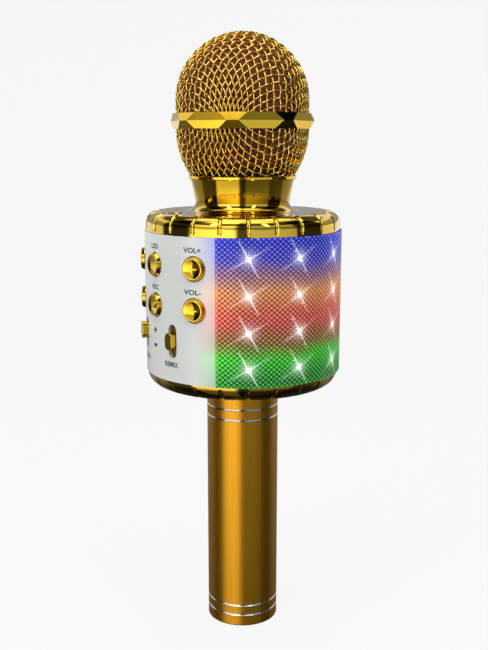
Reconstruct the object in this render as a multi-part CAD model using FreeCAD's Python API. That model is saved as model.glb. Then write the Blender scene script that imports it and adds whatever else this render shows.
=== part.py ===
"""Karaoke toy microphone: a wire-mesh head screwed on a speaker drum, on an aluminium handle.

The drum is a ring frame between two plated covers. A curved control panel closes its front and a
perforated speaker grille wraps the rest, with a diffuser and rows of coloured lights behind it. The
panel has six push buttons and two slide controls, and the drum holds two loudspeakers, the boards,
a charging port, a card slot and an audio jack. The battery is in the handle.

Units are millimetres. The origin is the centre of the handle's flat end, +Z runs up the microphone,
and the control panel faces -Y. An azimuth is counted from -Y towards +X, in degrees.
"""
import FreeCAD
import Part
import math
import os

from FreeCAD import Vector

# ---- Driving dimensions -------------------------------------------------------------------------
# Handle
HANDLE_RADIUS = 14.9
HANDLE_WALL = 1.2
HANDLE_LENGTH = 105.2
HANDLE_EDGE_ROUND = 0.6
GROOVE_WIDTH = 1.0
GROOVE_DEPTH = 0.35
LOWER_GROOVES_Z = (5.1, 9.4)
UPPER_GROOVES_BELOW_DRUM = (14.0, 9.6)
TUBE_CLEARANCE = 0.1
SPIGOT_WALL = 2.1
LOWER_SPIGOT_LENGTH = 13.0
END_CAP_DEPTH = 8.0
END_CAP_WALL = 1.6
SPANNER_HOLE_RADIUS = 1.1
SPANNER_HOLE_DEPTH = 1.0
SPANNER_HOLE_OFFSET = 8.0

# Battery and its cradle
CELL_RADIUS = 9.2
CELL_LENGTH = 65.0
CELL_BUTTON_RADIUS = 4.1
CELL_BUTTON_HEIGHT = 1.0
CELL_CLEARANCE = 0.2
CRADLE_WALL = 1.2
CRADLE_END = 2.0
CRADLE_ABOVE_CAP = 1.0
CONTACT_WIDTH = 7.4
CONTACT_LENGTH = 14.7
CONTACT_THICKNESS = 0.5

# Drum
COVER_RADIUS = 39.4
COVER_WALL = 1.8
COVER_CLEARANCE = 0.1
PANEL_PROUD = 0.4
PANEL_WALL = 1.8
GRILLE_PROUD = 0.9
GRILLE_WALL = 0.6
PANEL_HEIGHT = 57.1
BOTTOM_COVER_HEIGHT = 6.1
TOP_COVER_HEIGHT = 7.4
TOP_COVER_ROUND = 4.5
PANEL_HALF_ANGLE = 43.8
PANEL_GAP_ANGLE = 0.4
PANEL_POST_RADIUS = 1.7
LIP_INSET = 1.6
LIP_WALL = 1.5
LIP_DEPTH = 3.0
LIP_ROOT = 1.5
RIB_COUNT = 23
RIB_PHASE = 14.9
RIB_RADIUS = 1.2
RIB_OFFSET = 0.75
RIB_RUN = 1.2
RIB_SEAM_GAP = 0.35
RIB_START_ANGLE = 14.0

# Frame inside the drum
FRAME_WALL = 1.8
FRAME_LIP_GAP = 0.2
FRAME_END_GAP = 1.9
FRAME_TOP_GAP = 1.0
PANEL_WINDOW_HALF_ANGLE = 37.5
WINDOW_HALF_ANGLE = 10.0
WINDOW_MARGIN = 1.7
BAFFLE_OFFSET = 28.5
BAFFLE_WALL = 1.6
BAFFLE_END_GAP = 0.48
BOSS_RADIUS = 3.1
BOSS_INSET = 2.6
BOSS_AZIMUTHS = (55.0, 130.0, 230.0, 305.0)
BOSS_LENGTH = 10.0
TOP_BOSS_LENGTH = 5.0
TOP_POST_LENGTH = 6.0

# Screws
SCREW_RADIUS = 1.2
SCREW_HEAD_RADIUS = 2.1
SCREW_HEAD_HEIGHT = 1.4
SCREW_BITE = 0.02
SCREW_CLEARANCE = 0.2
SCREW_END_GAP = 1.0
SMALL_SCREW_RADIUS = 0.8
SMALL_SCREW_HEAD_RADIUS = 1.5
SMALL_SCREW_HEAD_HEIGHT = 1.0

# Lights
LIGHT_COLUMNS = 9
LIGHT_ROWS = 4
LIGHT_COLUMN_PITCH = 29.5
LIGHT_ROW_PITCH = 14.0
LIGHT_ROW_OFFSET = 0.0
STRIP_WIDTH = 5.0
STRIP_THICKNESS = 0.8
LIGHT_SIZE = 3.5
LIGHT_HEIGHT = 0.9
DIFFUSER_WALL = 0.7
DIFFUSER_GRILLE_GAP = 0.5
LAYER_GAP = 0.2

# Controls
COLUMN_AZIMUTH = 31.2
BUTTON_ROW_PITCH = 15.8
BUTTON_ROWS_ABOVE_MIDDLE = 8.65
BUTTON_RADIUS = 4.75
BUTTON_FACE_RADIUS = 4.3
BUTTON_PROUD = 1.5
BUTTON_EDGE_ROUND = 0.4
BUTTON_CLEARANCE = 0.2
BUTTON_TRAVEL = 0.6
DISH_RADIUS = 3.7
DISH_DEPTH = 0.6
SIGN_LENGTH = 3.5
SIGN_WIDTH = 0.55
SIGN_BELOW_RIM = 0.1
SIGN_ROOT = 0.3
SIGN_DOT_RADIUS = 1.15
FLANGE_OVERHANG = 1.05
FLANGE_THICKNESS = 1.1
FLANGE_PANEL_GAP = 0.15
STEM_RADIUS = 2.2
STEM_GAP = 0.2
TIP_RADIUS = 1.5
TIP_ENTRY = 0.7
SWITCH_SIZE = 6.0
SWITCH_HEIGHT = 3.8
SWITCH_BORE_CLEARANCE = 0.25

SLIDER_AZIMUTH = 15.7
SLIDER_BELOW_MIDDLE = 12.35
SLOT_WIDTH = 4.4
SLOT_LENGTH = 13.2
KNOB_WIDTH = 3.8
KNOB_LENGTH = 6.8
KNOB_PROUD = 2.4
KNOB_EDGE_ROUND = 0.25
KNOB_END_GAP = 0.1
ECHO_ABOVE_MIDDLE = 1.3
REMIX_ABOVE_MIDDLE = 0.2
KNOB_PLATE_WALL = 0.9
KNOB_PLATE_GAP = 0.3
KNOB_PLATE_HALF_WIDTH = 3.3
KNOB_STEM_WIDTH = 1.4
KNOB_STEM_LENGTH = 3.0
KNOB_STEM_ENTRY = 1.2
POT_WIDTH = 6.0
POT_LENGTH = 22.0
POT_HEIGHT = 3.5
POT_WALL = 0.6
POT_LEVER_CLEARANCE = 0.5

# Boards and what is on them
BOARD_DISTANCE = 30.5
BOARD_THICKNESS = 1.6
BOARD_HALF_WIDTH = 13.5
BOARD_END_GAP = 1.5
SIDE_BOARD_INNER = 4.0
SIDE_BOARD_OUTER = 6.0
SIDE_BOARD_BELOW = 7.0
SIDE_BOARD_ABOVE = 4.0
RAIL_WALL = 0.8
RAIL_BITE = 0.8
RAIL_WIDTH = 2.4
RAIL_CLEARANCE = 0.05
CHIP_HEIGHT = 1.4
CHIPS = ((9.0, 9.0, 0.0, 10.0), (6.0, 8.0, -8.0, -3.0), (5.0, 5.0, 8.0, -2.0))
CAPACITOR_RADIUS = 2.5
CAPACITOR_LENGTH = 5.0
CAPACITOR_PLACE = (9.0, 10.0)

PORT_WIDTH = 7.6
PORT_HEIGHT = 2.7
PORT_DEPTH = 6.0
PORT_OFFSET = -7.0
PORT_WALL = 0.35
PORT_RECESS = 0.4
PORT_CLEARANCE = 0.4
TONGUE_WIDTH = 4.2
TONGUE_THICKNESS = 0.8
TONGUE_INSET = 1.5
CARD_WIDTH = 13.0
CARD_HEIGHT = 1.8
CARD_DEPTH = 14.5
CARD_OFFSET = 5.5
CARD_SLOT_WIDTH = 11.4
CARD_SLOT_HEIGHT = 0.9
CARD_SLOT_DEPTH = 11.6

JACK_PITCH_RADIUS = 30.7
JACK_BORE_RADIUS = 1.8
JACK_BORE_DEPTH = 9.0
JACK_NOSE_RADIUS = 2.9
JACK_NOSE_CLEARANCE = 0.1
JACK_BODY_SIZE = 6.0
JACK_BODY_HEIGHT = 8.0
JACK_DISH_RADIUS = 4.0
JACK_DISH_DEPTH = 0.6

# Loudspeakers
SPEAKER_RADIUS = 18.7
SPEAKER_OPENING_RADIUS = 14.6
SPEAKER_FLANGE = 1.2
SPEAKER_DEPTH = 11.0
SPEAKER_BACK_RADIUS = 9.5
SPEAKER_SKIN = 0.9
MAGNET_RADIUS = 10.5
MAGNET_LENGTH = 6.0
CONE_SKIN = 0.5
CONE_RADIUS = 13.6
CONE_THROAT = 4.8
CONE_DEPTH = 6.0
CAP_RISE = 2.2
ROLL_WIDTH = 2.4
ROLL_RISE = 0.9
SPEAKER_SCREW_PITCH_RADIUS = 17.1

# Neck and head
NECK_FLARE_RADIUS = 24.0
NECK_RADIUS = 19.0
NECK_HEIGHT = 3.6
SPIGOT_RADIUS = 16.6
SPIGOT_LENGTH = 8.0
SPIGOT_CLEARANCE = 0.2
NECK_BORE_RADIUS = 14.2
COLLAR_GAP = 0.1
COLLAR_HEIGHT = 10.4
COLLAR_FOOT_INSET = 0.35
COLLAR_WAIST_PROUD = 1.6
COLLAR_RIM_PROUD = 2.35
COLLAR_RIM_HEIGHT = 1.3
COLLAR_EDGE_BREAK = 0.25
COLLAR_FLOOR_BELOW_RIM = 2.1
COLLAR_POCKET_TOP_GAP = 1.95
COLLAR_POCKET_FLOOR_GAP = 0.9
MESH_RADIUS = 26.6
MESH_WALL = 1.3
MESH_NARROWING = 7.1
BAND_HEIGHT = 6.0
BAND_ABOVE_COLLAR = 18.1
BAND_RIDGE_PROUD = 2.15
BAND_EDGE_PROUD = 1.1
BAND_CLEARANCE = 0.1
BAND_FACETS = 8
BAND_PHASE = 28.7
FACET_RIDGE_HALF_ANGLE = 18.0
FACET_EDGE_HALF_ANGLE = 11.0
MESH_SPLIT_GAP = 0.3
DOME_CENTRE_ABOVE_BAND = 4.9
FOAM_GAP = 0.3
FOAM_WALL = 3.5
RETAINER_HEIGHT = 5.2
RETAINER_BORE_RADIUS = 16.9
RETAINER_LAND = 0.6
RETAINER_WALL = 1.4

# Capsule
POST_FLANGE_RADIUS = 16.2
POST_FLANGE = 1.4
POST_SKIRT_LENGTH = 7.0
POST_WALL = 1.5
POST_TOWER_HEIGHT = 13.0
POST_TOWER_RADIUS = 9.0
POST_WIRE_RADIUS = 2.2
POST_SHOULDER_DROP = 0.5
CUP_RADIUS = 12.0
CUP_WALL = 2.0
CUP_FLOOR = 2.0
CUP_DEPTH = 7.0
CAPSULE_LENGTH = 11.0
CAPSULE_FACE_ROUND = 1.0
CAPSULE_HOLE_RADIUS = 0.8
CAPSULE_HOLE_DEPTH = 1.2
CAPSULE_HOLE_RING = 5.5
CAPSULE_HOLES = 8

# Leads
BATTERY_LEAD_RADIUS = 1.3
BATTERY_LEAD_RISE = 18.0
MIC_LEAD_RADIUS = 1.2
MIC_LEAD_BELOW_BOARD_TOP = 3.0
SPEAKER_LEAD_RADIUS = 0.8
SPEAKER_LEAD_ABOVE_MIDDLE = 3.0
SPEAKER_LEAD_REACH = 8.5

# ---- Places worked out from the driving dimensions ----------------------------------------------
DRUM_BOTTOM_Z = HANDLE_LENGTH
SEAM_BOTTOM_Z = DRUM_BOTTOM_Z + BOTTOM_COVER_HEIGHT
SEAM_TOP_Z = SEAM_BOTTOM_Z + PANEL_HEIGHT
DRUM_TOP_Z = SEAM_TOP_Z + TOP_COVER_HEIGHT
DRUM_MIDDLE_Z = (SEAM_BOTTOM_Z + SEAM_TOP_Z) / 2
NECK_TOP_Z = DRUM_TOP_Z + NECK_HEIGHT
SPIGOT_TOP_Z = NECK_TOP_Z + SPIGOT_LENGTH
COLLAR_BOTTOM_Z = NECK_TOP_Z + COLLAR_GAP
COLLAR_TOP_Z = COLLAR_BOTTOM_Z + COLLAR_HEIGHT
COLLAR_FLOOR_Z = COLLAR_TOP_Z - COLLAR_FLOOR_BELOW_RIM
BAND_BOTTOM_Z = COLLAR_TOP_Z + BAND_ABOVE_COLLAR
BAND_MIDDLE_Z = BAND_BOTTOM_Z + BAND_HEIGHT / 2
BAND_TOP_Z = BAND_BOTTOM_Z + BAND_HEIGHT
DOME_CENTRE_Z = BAND_TOP_Z + DOME_CENTRE_ABOVE_BAND
BAND_RIDGE_RADIUS = MESH_RADIUS + BAND_RIDGE_PROUD
BAND_EDGE_RADIUS = MESH_RADIUS + BAND_EDGE_PROUD
BOWL_DEPTH = BAND_BOTTOM_Z - COLLAR_FLOOR_Z - BAND_CLEARANCE
MESH_BOWL_RADIUS = (MESH_NARROWING ** 2 + BOWL_DEPTH ** 2) / (2 * MESH_NARROWING)
MESH_FOOT_RADIUS = MESH_RADIUS - MESH_NARROWING
COLLAR_FOOT_RADIUS = MESH_FOOT_RADIUS - COLLAR_FOOT_INSET
COLLAR_WAIST_RADIUS = MESH_FOOT_RADIUS + COLLAR_WAIST_PROUD
COLLAR_RIM_RADIUS = MESH_FOOT_RADIUS + COLLAR_RIM_PROUD
COLLAR_POCKET_TOP = MESH_FOOT_RADIUS + COLLAR_POCKET_TOP_GAP
COLLAR_POCKET_FLOOR = MESH_FOOT_RADIUS + COLLAR_POCKET_FLOOR_GAP
TUBE_BORE_RADIUS = HANDLE_RADIUS - HANDLE_WALL
PLUG_RADIUS = TUBE_BORE_RADIUS - TUBE_CLEARANCE
WIRE_BORE_RADIUS = PLUG_RADIUS - SPIGOT_WALL

PANEL_OUTER = COVER_RADIUS + PANEL_PROUD
PANEL_INNER = PANEL_OUTER - PANEL_WALL
GRILLE_OUTER = COVER_RADIUS + GRILLE_PROUD
GRILLE_INNER = GRILLE_OUTER - GRILLE_WALL
DIFFUSER_OUTER = GRILLE_INNER - DIFFUSER_GRILLE_GAP
DIFFUSER_INNER = DIFFUSER_OUTER - DIFFUSER_WALL
LIP_OUTER = COVER_RADIUS - LIP_INSET
LIP_INNER = LIP_OUTER - LIP_WALL
FRAME_OUTER = LIP_INNER - FRAME_LIP_GAP
FRAME_INNER = FRAME_OUTER - FRAME_WALL
BOSS_PITCH_RADIUS = FRAME_INNER - BOSS_INSET
BAFFLE_HALF_WIDTH = math.sqrt(FRAME_INNER ** 2 - BAFFLE_OFFSET ** 2) - BAFFLE_END_GAP
FLOOR_Z = DRUM_BOTTOM_Z + COVER_WALL
CEILING_Z = DRUM_TOP_Z - COVER_WALL
FRAME_BOTTOM_Z = FLOOR_Z + FRAME_END_GAP
FRAME_TOP_Z = CEILING_Z - FRAME_TOP_GAP
TOP_BOSS_Z = CEILING_Z - TOP_POST_LENGTH

FLANGE_RADIUS = BUTTON_RADIUS + FLANGE_OVERHANG
FLANGE_OUTER = math.sqrt(PANEL_INNER ** 2 - FLANGE_RADIUS ** 2) - FLANGE_PANEL_GAP
BUTTON_FACE = PANEL_OUTER + BUTTON_PROUD
SWITCH_TOP = BOARD_DISTANCE + SWITCH_HEIGHT
SLIDER_Z = DRUM_MIDDLE_Z - SLIDER_BELOW_MIDDLE
KNOB_TRAVEL = (SLOT_LENGTH - KNOB_LENGTH) / 2 - KNOB_END_GAP
KNOB_PLATE_OUTER = PANEL_INNER - KNOB_PLATE_GAP
BUTTON_ROWS_Z = (DRUM_MIDDLE_Z + BUTTON_ROWS_ABOVE_MIDDLE + BUTTON_ROW_PITCH / 2,
                 DRUM_MIDDLE_Z + BUTTON_ROWS_ABOVE_MIDDLE - BUTTON_ROW_PITCH / 2)
POT_X = (BOARD_DISTANCE + POT_HEIGHT) * math.tan(math.radians(SLIDER_AZIMUTH))
BOARD_BOTTOM_Z = SEAM_BOTTOM_Z - BOARD_END_GAP
BOARD_TOP_Z = SEAM_TOP_Z - LIP_DEPTH - BOARD_END_GAP
LIGHT_AZIMUTHS = [180 + LIGHT_COLUMN_PITCH * (i - (LIGHT_COLUMNS - 1) / 2) for i in range(LIGHT_COLUMNS)]
LIGHT_ROWS_Z = [DRUM_MIDDLE_Z + LIGHT_ROW_OFFSET + LIGHT_ROW_PITCH * (i - (LIGHT_ROWS - 1) / 2)
                for i in range(LIGHT_ROWS)]
STRIP_INNER = FRAME_OUTER + LAYER_GAP

ORIGIN = Vector(0, 0, 0)
X_AXIS = Vector(1, 0, 0)
Z_AXIS = Vector(0, 0, 1)


# ---- Shapes that several pieces use -------------------------------------------------------------
def lathe(start, *steps):
    """A solid turned about Z from an outline of (r, z) points. A step of two points is an arc."""
    edges = []
    here = start
    for step in steps + (start,):
        if step == here:
            continue
        if isinstance(step[0], tuple):
            middle, end = step
            points = [Vector(r, 0, z) for r, z in (here, middle, end)]
            edges.append(Part.Arc(*points).toShape())
        else:
            end = step
            edges.append(Part.LineSegment(Vector(here[0], 0, here[1]), Vector(end[0], 0, end[1])).toShape())
        here = end
    return Part.Face(Part.Wire(edges)).revolve(ORIGIN, Z_AXIS, 360)


def on_arc(centre, radius, angle):
    """The (r, z) point at an angle, in degrees above the horizontal, on an arc of an outline."""
    turn = math.radians(angle)
    return (centre[0] + radius * math.cos(turn), centre[1] + radius * math.sin(turn))


def disc(radius, low, high, x=0.0, y=0.0):
    """An upright cylinder between two heights."""
    return Part.makeCylinder(radius, high - low, Vector(x, y, low), Z_AXIS)


def ring(inner, outer, low, high):
    """An upright tube between two heights."""
    return disc(outer, low, high).cut(disc(inner, low - 1, high + 1))


def sector(inner, outer, low, high, start, end):
    """A piece of an upright tube between two azimuths."""
    corners = [Vector(0, -r, z) for r, z in ((inner, low), (outer, low), (outer, high), (inner, high))]
    face = Part.Face(Part.makePolygon(corners + corners[:1]))
    face.rotate(ORIGIN, Z_AXIS, start)
    return face.revolve(ORIGIN, Z_AXIS, end - start)


def block(x_size, y_size, z_size, x=0.0, y=0.0, z=0.0):
    """A box centred on x and y that stands on z."""
    return Part.makeBox(x_size, y_size, z_size, Vector(x - x_size / 2, y - y_size / 2, z))


def turned(shape, azimuth):
    """A copy turned about the microphone's axis."""
    copy = shape.copy()
    copy.rotate(ORIGIN, Z_AXIS, azimuth)
    return copy


def radial(shape, azimuth, z):
    """Lays a shape made along +Z, where height is distance from the drum's axis, along a radius.
    Its x runs round the drum, and its y runs up."""
    copy = shape.copy()
    copy.rotate(ORIGIN, X_AXIS, 90)
    copy.translate(Vector(0, 0, z))
    return turned(copy, azimuth)


def obround(width, length, low, high, x=0.0, y=0.0):
    """An upright bar with round ends, long along y."""
    reach = (length - width) / 2
    bar = block(width, 2 * reach, high - low, x, y, low)
    ends = [disc(width / 2, low, high, x, y + side * reach) for side in (-1, 1)]
    return bar.fuse(ends).removeSplitter()


def around(shape, azimuths):
    """Copies of a shape at several azimuths."""
    return [turned(shape, azimuth) for azimuth in azimuths]


def screw(radius, length, head_radius, head_height):
    """A screw along +Z with its head's underside at 0 and its tip up, with a cross slot."""
    body = disc(radius, 0, length).fuse(disc(head_radius, -head_height, 0)).removeSplitter()
    slots = [block(head_radius, 0.25 * head_radius, 0.4 * head_height, z=-head_height),
             block(0.25 * head_radius, head_radius, 0.4 * head_height, z=-head_height)]
    return body.cut(slots)


def lead(radius, points):
    """A round lead along straight runs joined by tangent arcs."""
    vectors = [Vector(*p) for p in points]
    edges = []
    here = vectors[0]
    for before, corner, after in zip(vectors, vectors[1:], vectors[2:]):
        back = (before - corner)
        on = (after - corner)
        half_turn = (math.pi - back.getAngle(on)) / 2
        cut = 0.45 * min(back.Length, on.Length)
        arc_radius = cut / math.tan(half_turn)
        back.normalize()
        on.normalize()
        enter = corner + back * cut
        leave = corner + on * cut
        to_centre = (back + on).normalize()
        middle = corner + to_centre * (arc_radius / math.cos(half_turn) - arc_radius)
        edges.append(Part.LineSegment(here, enter).toShape())
        edges.append(Part.Arc(enter, middle, leave).toShape())
        here = leave
    edges.append(Part.LineSegment(here, vectors[-1]).toShape())
    path = Part.Wire(edges)
    start = vectors[1] - vectors[0]
    section = Part.Wire([Part.makeCircle(radius, vectors[0], start)])
    return path.makePipeShell([section], True, False)


def save(name, *solids):
    """Writes one node: one solid, or several that share the node."""
    shape = solids[0] if len(solids) == 1 else Part.makeCompound(list(solids))
    if not shape.isValid() or any(s.Volume <= 0 for s in shape.Solids):
        raise ValueError(name + " isn't a sound solid")
    shape.exportStep("parts/" + name + ".step")


# ---- Handle -------------------------------------------------------------------------------------
def handle_tube():
    """Anodised tube with two pairs of bright turned grooves. It screws onto the drum's spigot."""
    grooves = list(LOWER_GROOVES_Z) + [HANDLE_LENGTH - below for below in UPPER_GROOVES_BELOW_DRUM]
    centre = (HANDLE_RADIUS - HANDLE_EDGE_ROUND, HANDLE_EDGE_ROUND)
    outline = [on_arc(centre, HANDLE_EDGE_ROUND, -90),
               (on_arc(centre, HANDLE_EDGE_ROUND, -45), on_arc(centre, HANDLE_EDGE_ROUND, 0))]
    for z in grooves:
        outline += [(HANDLE_RADIUS, z - GROOVE_WIDTH / 2),
                    ((HANDLE_RADIUS - GROOVE_DEPTH, z), (HANDLE_RADIUS, z + GROOVE_WIDTH / 2))]
    outline += [(HANDLE_RADIUS, HANDLE_LENGTH), (TUBE_BORE_RADIUS, HANDLE_LENGTH), (TUBE_BORE_RADIUS, 0)]
    return lathe(*outline)


def end_cap():
    """Cap that closes the handle's foot, with two spanner holes in its flat face."""
    cap = lathe((0, 0), (PLUG_RADIUS, 0), (PLUG_RADIUS, END_CAP_DEPTH),
                (PLUG_RADIUS - END_CAP_WALL, END_CAP_DEPTH), (PLUG_RADIUS - END_CAP_WALL, END_CAP_WALL),
                (0, END_CAP_WALL))
    holes = [disc(SPANNER_HOLE_RADIUS, -1, SPANNER_HOLE_DEPTH, x=side * SPANNER_HOLE_OFFSET)
             for side in (-1, 1)]
    return cap.cut(holes)


CRADLE_BOTTOM_Z = END_CAP_DEPTH + CRADLE_ABOVE_CAP
CELL_BOTTOM_Z = CRADLE_BOTTOM_Z + CRADLE_END + CONTACT_THICKNESS
CELL_TOP_Z = CELL_BOTTOM_Z + CELL_LENGTH
CRADLE_TOP_Z = CELL_TOP_Z + CONTACT_THICKNESS + CRADLE_END


def battery_cradle():
    """Half-round trough with a disc at each end, which centres the cell in the tube."""
    inner = CELL_RADIUS + CELL_CLEARANCE
    trough = sector(inner, inner + CRADLE_WALL, CRADLE_BOTTOM_Z, CRADLE_TOP_Z, 90, 270)
    low_end = disc(PLUG_RADIUS - TUBE_CLEARANCE, CRADLE_BOTTOM_Z, CRADLE_BOTTOM_Z + CRADLE_END)
    high_end = disc(PLUG_RADIUS - TUBE_CLEARANCE, CRADLE_TOP_Z - CRADLE_END, CRADLE_TOP_Z)
    return trough.fuse([low_end, high_end]).removeSplitter()


def battery_cell():
    """Round rechargeable cell with a raised positive button."""
    shoulder = CELL_TOP_Z - CELL_BUTTON_HEIGHT
    return lathe((0, CELL_BOTTOM_Z), (CELL_RADIUS, CELL_BOTTOM_Z), (CELL_RADIUS, shoulder),
                 (CELL_BUTTON_RADIUS, shoulder), (CELL_BUTTON_RADIUS, CELL_TOP_Z), (0, CELL_TOP_Z))


def battery_contacts():
    """Spot-welded strip at each end of the cell."""
    return [block(CONTACT_WIDTH, CONTACT_LENGTH, CONTACT_THICKNESS, z=z)
            for z in (CRADLE_BOTTOM_Z + CRADLE_END, CELL_TOP_Z)]


def battery_lead():
    """Lead from the cradle's top up through the spigot to the main board's back."""
    board_back = -(BOARD_DISTANCE - BOARD_THICKNESS)
    rise = DRUM_BOTTOM_Z + BATTERY_LEAD_RISE
    return lead(BATTERY_LEAD_RADIUS, [(0, 0, CRADLE_TOP_Z), (0, 0, rise), (0, board_back, rise)])


# ---- Drum covers, panel and grille --------------------------------------------------------------
def rib_grooves(path_edges, seam_end):
    """Shallow round-bottomed grooves, one at each rib position, along a line in the plane facing -Y."""
    path = Part.Wire(path_edges)
    start = path_edges[0].valueAt(path_edges[0].FirstParameter)
    heading = path_edges[0].tangentAt(path_edges[0].FirstParameter)
    section = Part.Wire([Part.makeCircle(RIB_RADIUS, start, heading)])
    groove = path.makePipeShell([section], True, False)
    groove = groove.fuse(Part.makeSphere(RIB_RADIUS, seam_end)).removeSplitter()
    return around(groove, [RIB_PHASE + 360.0 * i / RIB_COUNT for i in range(RIB_COUNT)])


def cover_lip(low, high):
    """Ring inside the panel and grille that centres them on a cover."""
    return ring(LIP_INNER, LIP_OUTER, low, high)


def boss_points():
    """The x and y of each cover screw."""
    turns = [math.radians(azimuth) for azimuth in BOSS_AZIMUTHS]
    return [(BOSS_PITCH_RADIUS * math.sin(t), -BOSS_PITCH_RADIUS * math.cos(t)) for t in turns]


def bottom_cover():
    """Plated cover under the drum, with the spigot that the handle screws onto."""
    centre = (COVER_RADIUS - BOTTOM_COVER_HEIGHT, SEAM_BOTTOM_Z)
    inner = BOTTOM_COVER_HEIGHT - COVER_WALL
    spigot_end = DRUM_BOTTOM_Z - LOWER_SPIGOT_LENGTH
    cover = lathe((WIRE_BORE_RADIUS, spigot_end), (PLUG_RADIUS, spigot_end), (PLUG_RADIUS, DRUM_BOTTOM_Z),
                  (centre[0], DRUM_BOTTOM_Z),
                  (on_arc(centre, BOTTOM_COVER_HEIGHT, -45), (COVER_RADIUS, SEAM_BOTTOM_Z)),
                  (COVER_RADIUS - COVER_WALL, SEAM_BOTTOM_Z),
                  (on_arc(centre, inner, -45), (centre[0], FLOOR_Z)),
                  (WIRE_BORE_RADIUS, FLOOR_Z))
    pads = [disc(BOSS_RADIUS, FLOOR_Z - LIP_ROOT / 2, FRAME_BOTTOM_Z, x, y) for x, y in boss_points()]
    cover = cover.fuse([cover_lip(SEAM_BOTTOM_Z - LIP_ROOT, SEAM_BOTTOM_Z + LIP_DEPTH)] + pads)
    head_seat = DRUM_BOTTOM_Z + SCREW_HEAD_HEIGHT
    holes = [disc(SCREW_RADIUS + SCREW_CLEARANCE, DRUM_BOTTOM_Z - 1, FRAME_BOTTOM_Z + 1, x, y)
             for x, y in boss_points()]
    holes += [disc(SCREW_HEAD_RADIUS + SCREW_CLEARANCE, DRUM_BOTTOM_Z - 1, head_seat, x, y)
              for x, y in boss_points()]
    holes.append(block(PORT_WIDTH + PORT_CLEARANCE, PORT_HEIGHT + PORT_CLEARANCE, 4 * COVER_WALL,
                       PORT_OFFSET, port_middle_y(), DRUM_BOTTOM_Z - 1))
    holes.append(block(CARD_WIDTH + PORT_CLEARANCE, CARD_HEIGHT + PORT_CLEARANCE, 4 * COVER_WALL,
                       CARD_OFFSET, card_middle_y(), DRUM_BOTTOM_Z - 1))
    rib_round = BOTTOM_COVER_HEIGHT + RIB_OFFSET
    begin = on_arc(centre, rib_round, -RIB_START_ANGLE)
    middle = on_arc(centre, rib_round, -(90 + RIB_START_ANGLE) / 2)
    end = (centre[0], DRUM_BOTTOM_Z - RIB_OFFSET)
    begin, middle, end = [Vector(0, -r, z) for r, z in (begin, middle, end)]
    run = Part.LineSegment(end, end + Vector(0, RIB_RUN, 0)).toShape()
    grooves = rib_grooves([Part.Arc(begin, middle, end).toShape(), run], begin)
    return cover.cut(holes).cut(grooves).removeSplitter()


def top_cover():
    """Plated cover on the drum, with the neck and the spigot that the head screws onto."""
    centre = (COVER_RADIUS - TOP_COVER_ROUND, DRUM_TOP_Z - TOP_COVER_ROUND)
    inner = TOP_COVER_ROUND - COVER_WALL
    flare_middle = (NECK_RADIUS + 0.24 * (NECK_FLARE_RADIUS - NECK_RADIUS), DRUM_TOP_Z + 0.34 * NECK_HEIGHT)
    cover = lathe((COVER_RADIUS - COVER_WALL, SEAM_TOP_Z), (COVER_RADIUS, SEAM_TOP_Z),
                  (COVER_RADIUS, centre[1]), (on_arc(centre, TOP_COVER_ROUND, 45), (centre[0], DRUM_TOP_Z)),
                  (NECK_FLARE_RADIUS, DRUM_TOP_Z), (flare_middle, (NECK_RADIUS, NECK_TOP_Z)),
                  (SPIGOT_RADIUS, NECK_TOP_Z), (SPIGOT_RADIUS, SPIGOT_TOP_Z),
                  (NECK_BORE_RADIUS, SPIGOT_TOP_Z), (NECK_BORE_RADIUS, CEILING_Z), (centre[0], CEILING_Z),
                  (on_arc(centre, inner, 45), (COVER_RADIUS - COVER_WALL, centre[1])))
    posts = [disc(BOSS_RADIUS, TOP_BOSS_Z, CEILING_Z + COVER_WALL / 2, x, y) for x, y in boss_points()]
    cover = cover.fuse([cover_lip(SEAM_TOP_Z - LIP_DEPTH, SEAM_TOP_Z + LIP_ROOT)] + posts)
    holes = [disc(SCREW_RADIUS + SCREW_BITE, TOP_BOSS_Z - 1, CEILING_Z, x, y) for x, y in boss_points()]
    holes.append(disc(JACK_NOSE_RADIUS + JACK_NOSE_CLEARANCE, CEILING_Z - 1, DRUM_TOP_Z + 1,
                      y=-JACK_PITCH_RADIUS))
    dish = Part.makeCone(JACK_NOSE_RADIUS, JACK_DISH_RADIUS, JACK_DISH_DEPTH,
                         Vector(0, -JACK_PITCH_RADIUS, DRUM_TOP_Z - JACK_DISH_DEPTH), Z_AXIS)
    holes.append(dish)
    rib_line = COVER_RADIUS + RIB_OFFSET
    low = Vector(0, -rib_line, SEAM_TOP_Z + RIB_SEAM_GAP + RIB_RADIUS)
    begin = Vector(0, -rib_line, centre[1])
    bend = on_arc(centre, TOP_COVER_ROUND + RIB_OFFSET, 45)
    middle = Vector(0, -bend[0], bend[1])
    end = Vector(0, -centre[0], DRUM_TOP_Z + RIB_OFFSET)
    edges = [Part.LineSegment(low, begin).toShape(), Part.Arc(begin, middle, end).toShape(),
             Part.LineSegment(end, end + Vector(0, RIB_RUN, 0)).toShape()]
    grooves = rib_grooves(edges, low)
    return cover.cut(holes).cut(grooves).removeSplitter()


def panel_screw_places():
    """Azimuth and height of each screw that holds the panel to the frame."""
    azimuth = (PANEL_HALF_ANGLE + PANEL_WINDOW_HALF_ANGLE) / 2
    inset = LIP_DEPTH + SCREW_HEAD_RADIUS
    return [(side * azimuth, z) for side in (-1, 1) for z in (SEAM_BOTTOM_Z + inset, SEAM_TOP_Z - inset)]


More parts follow.
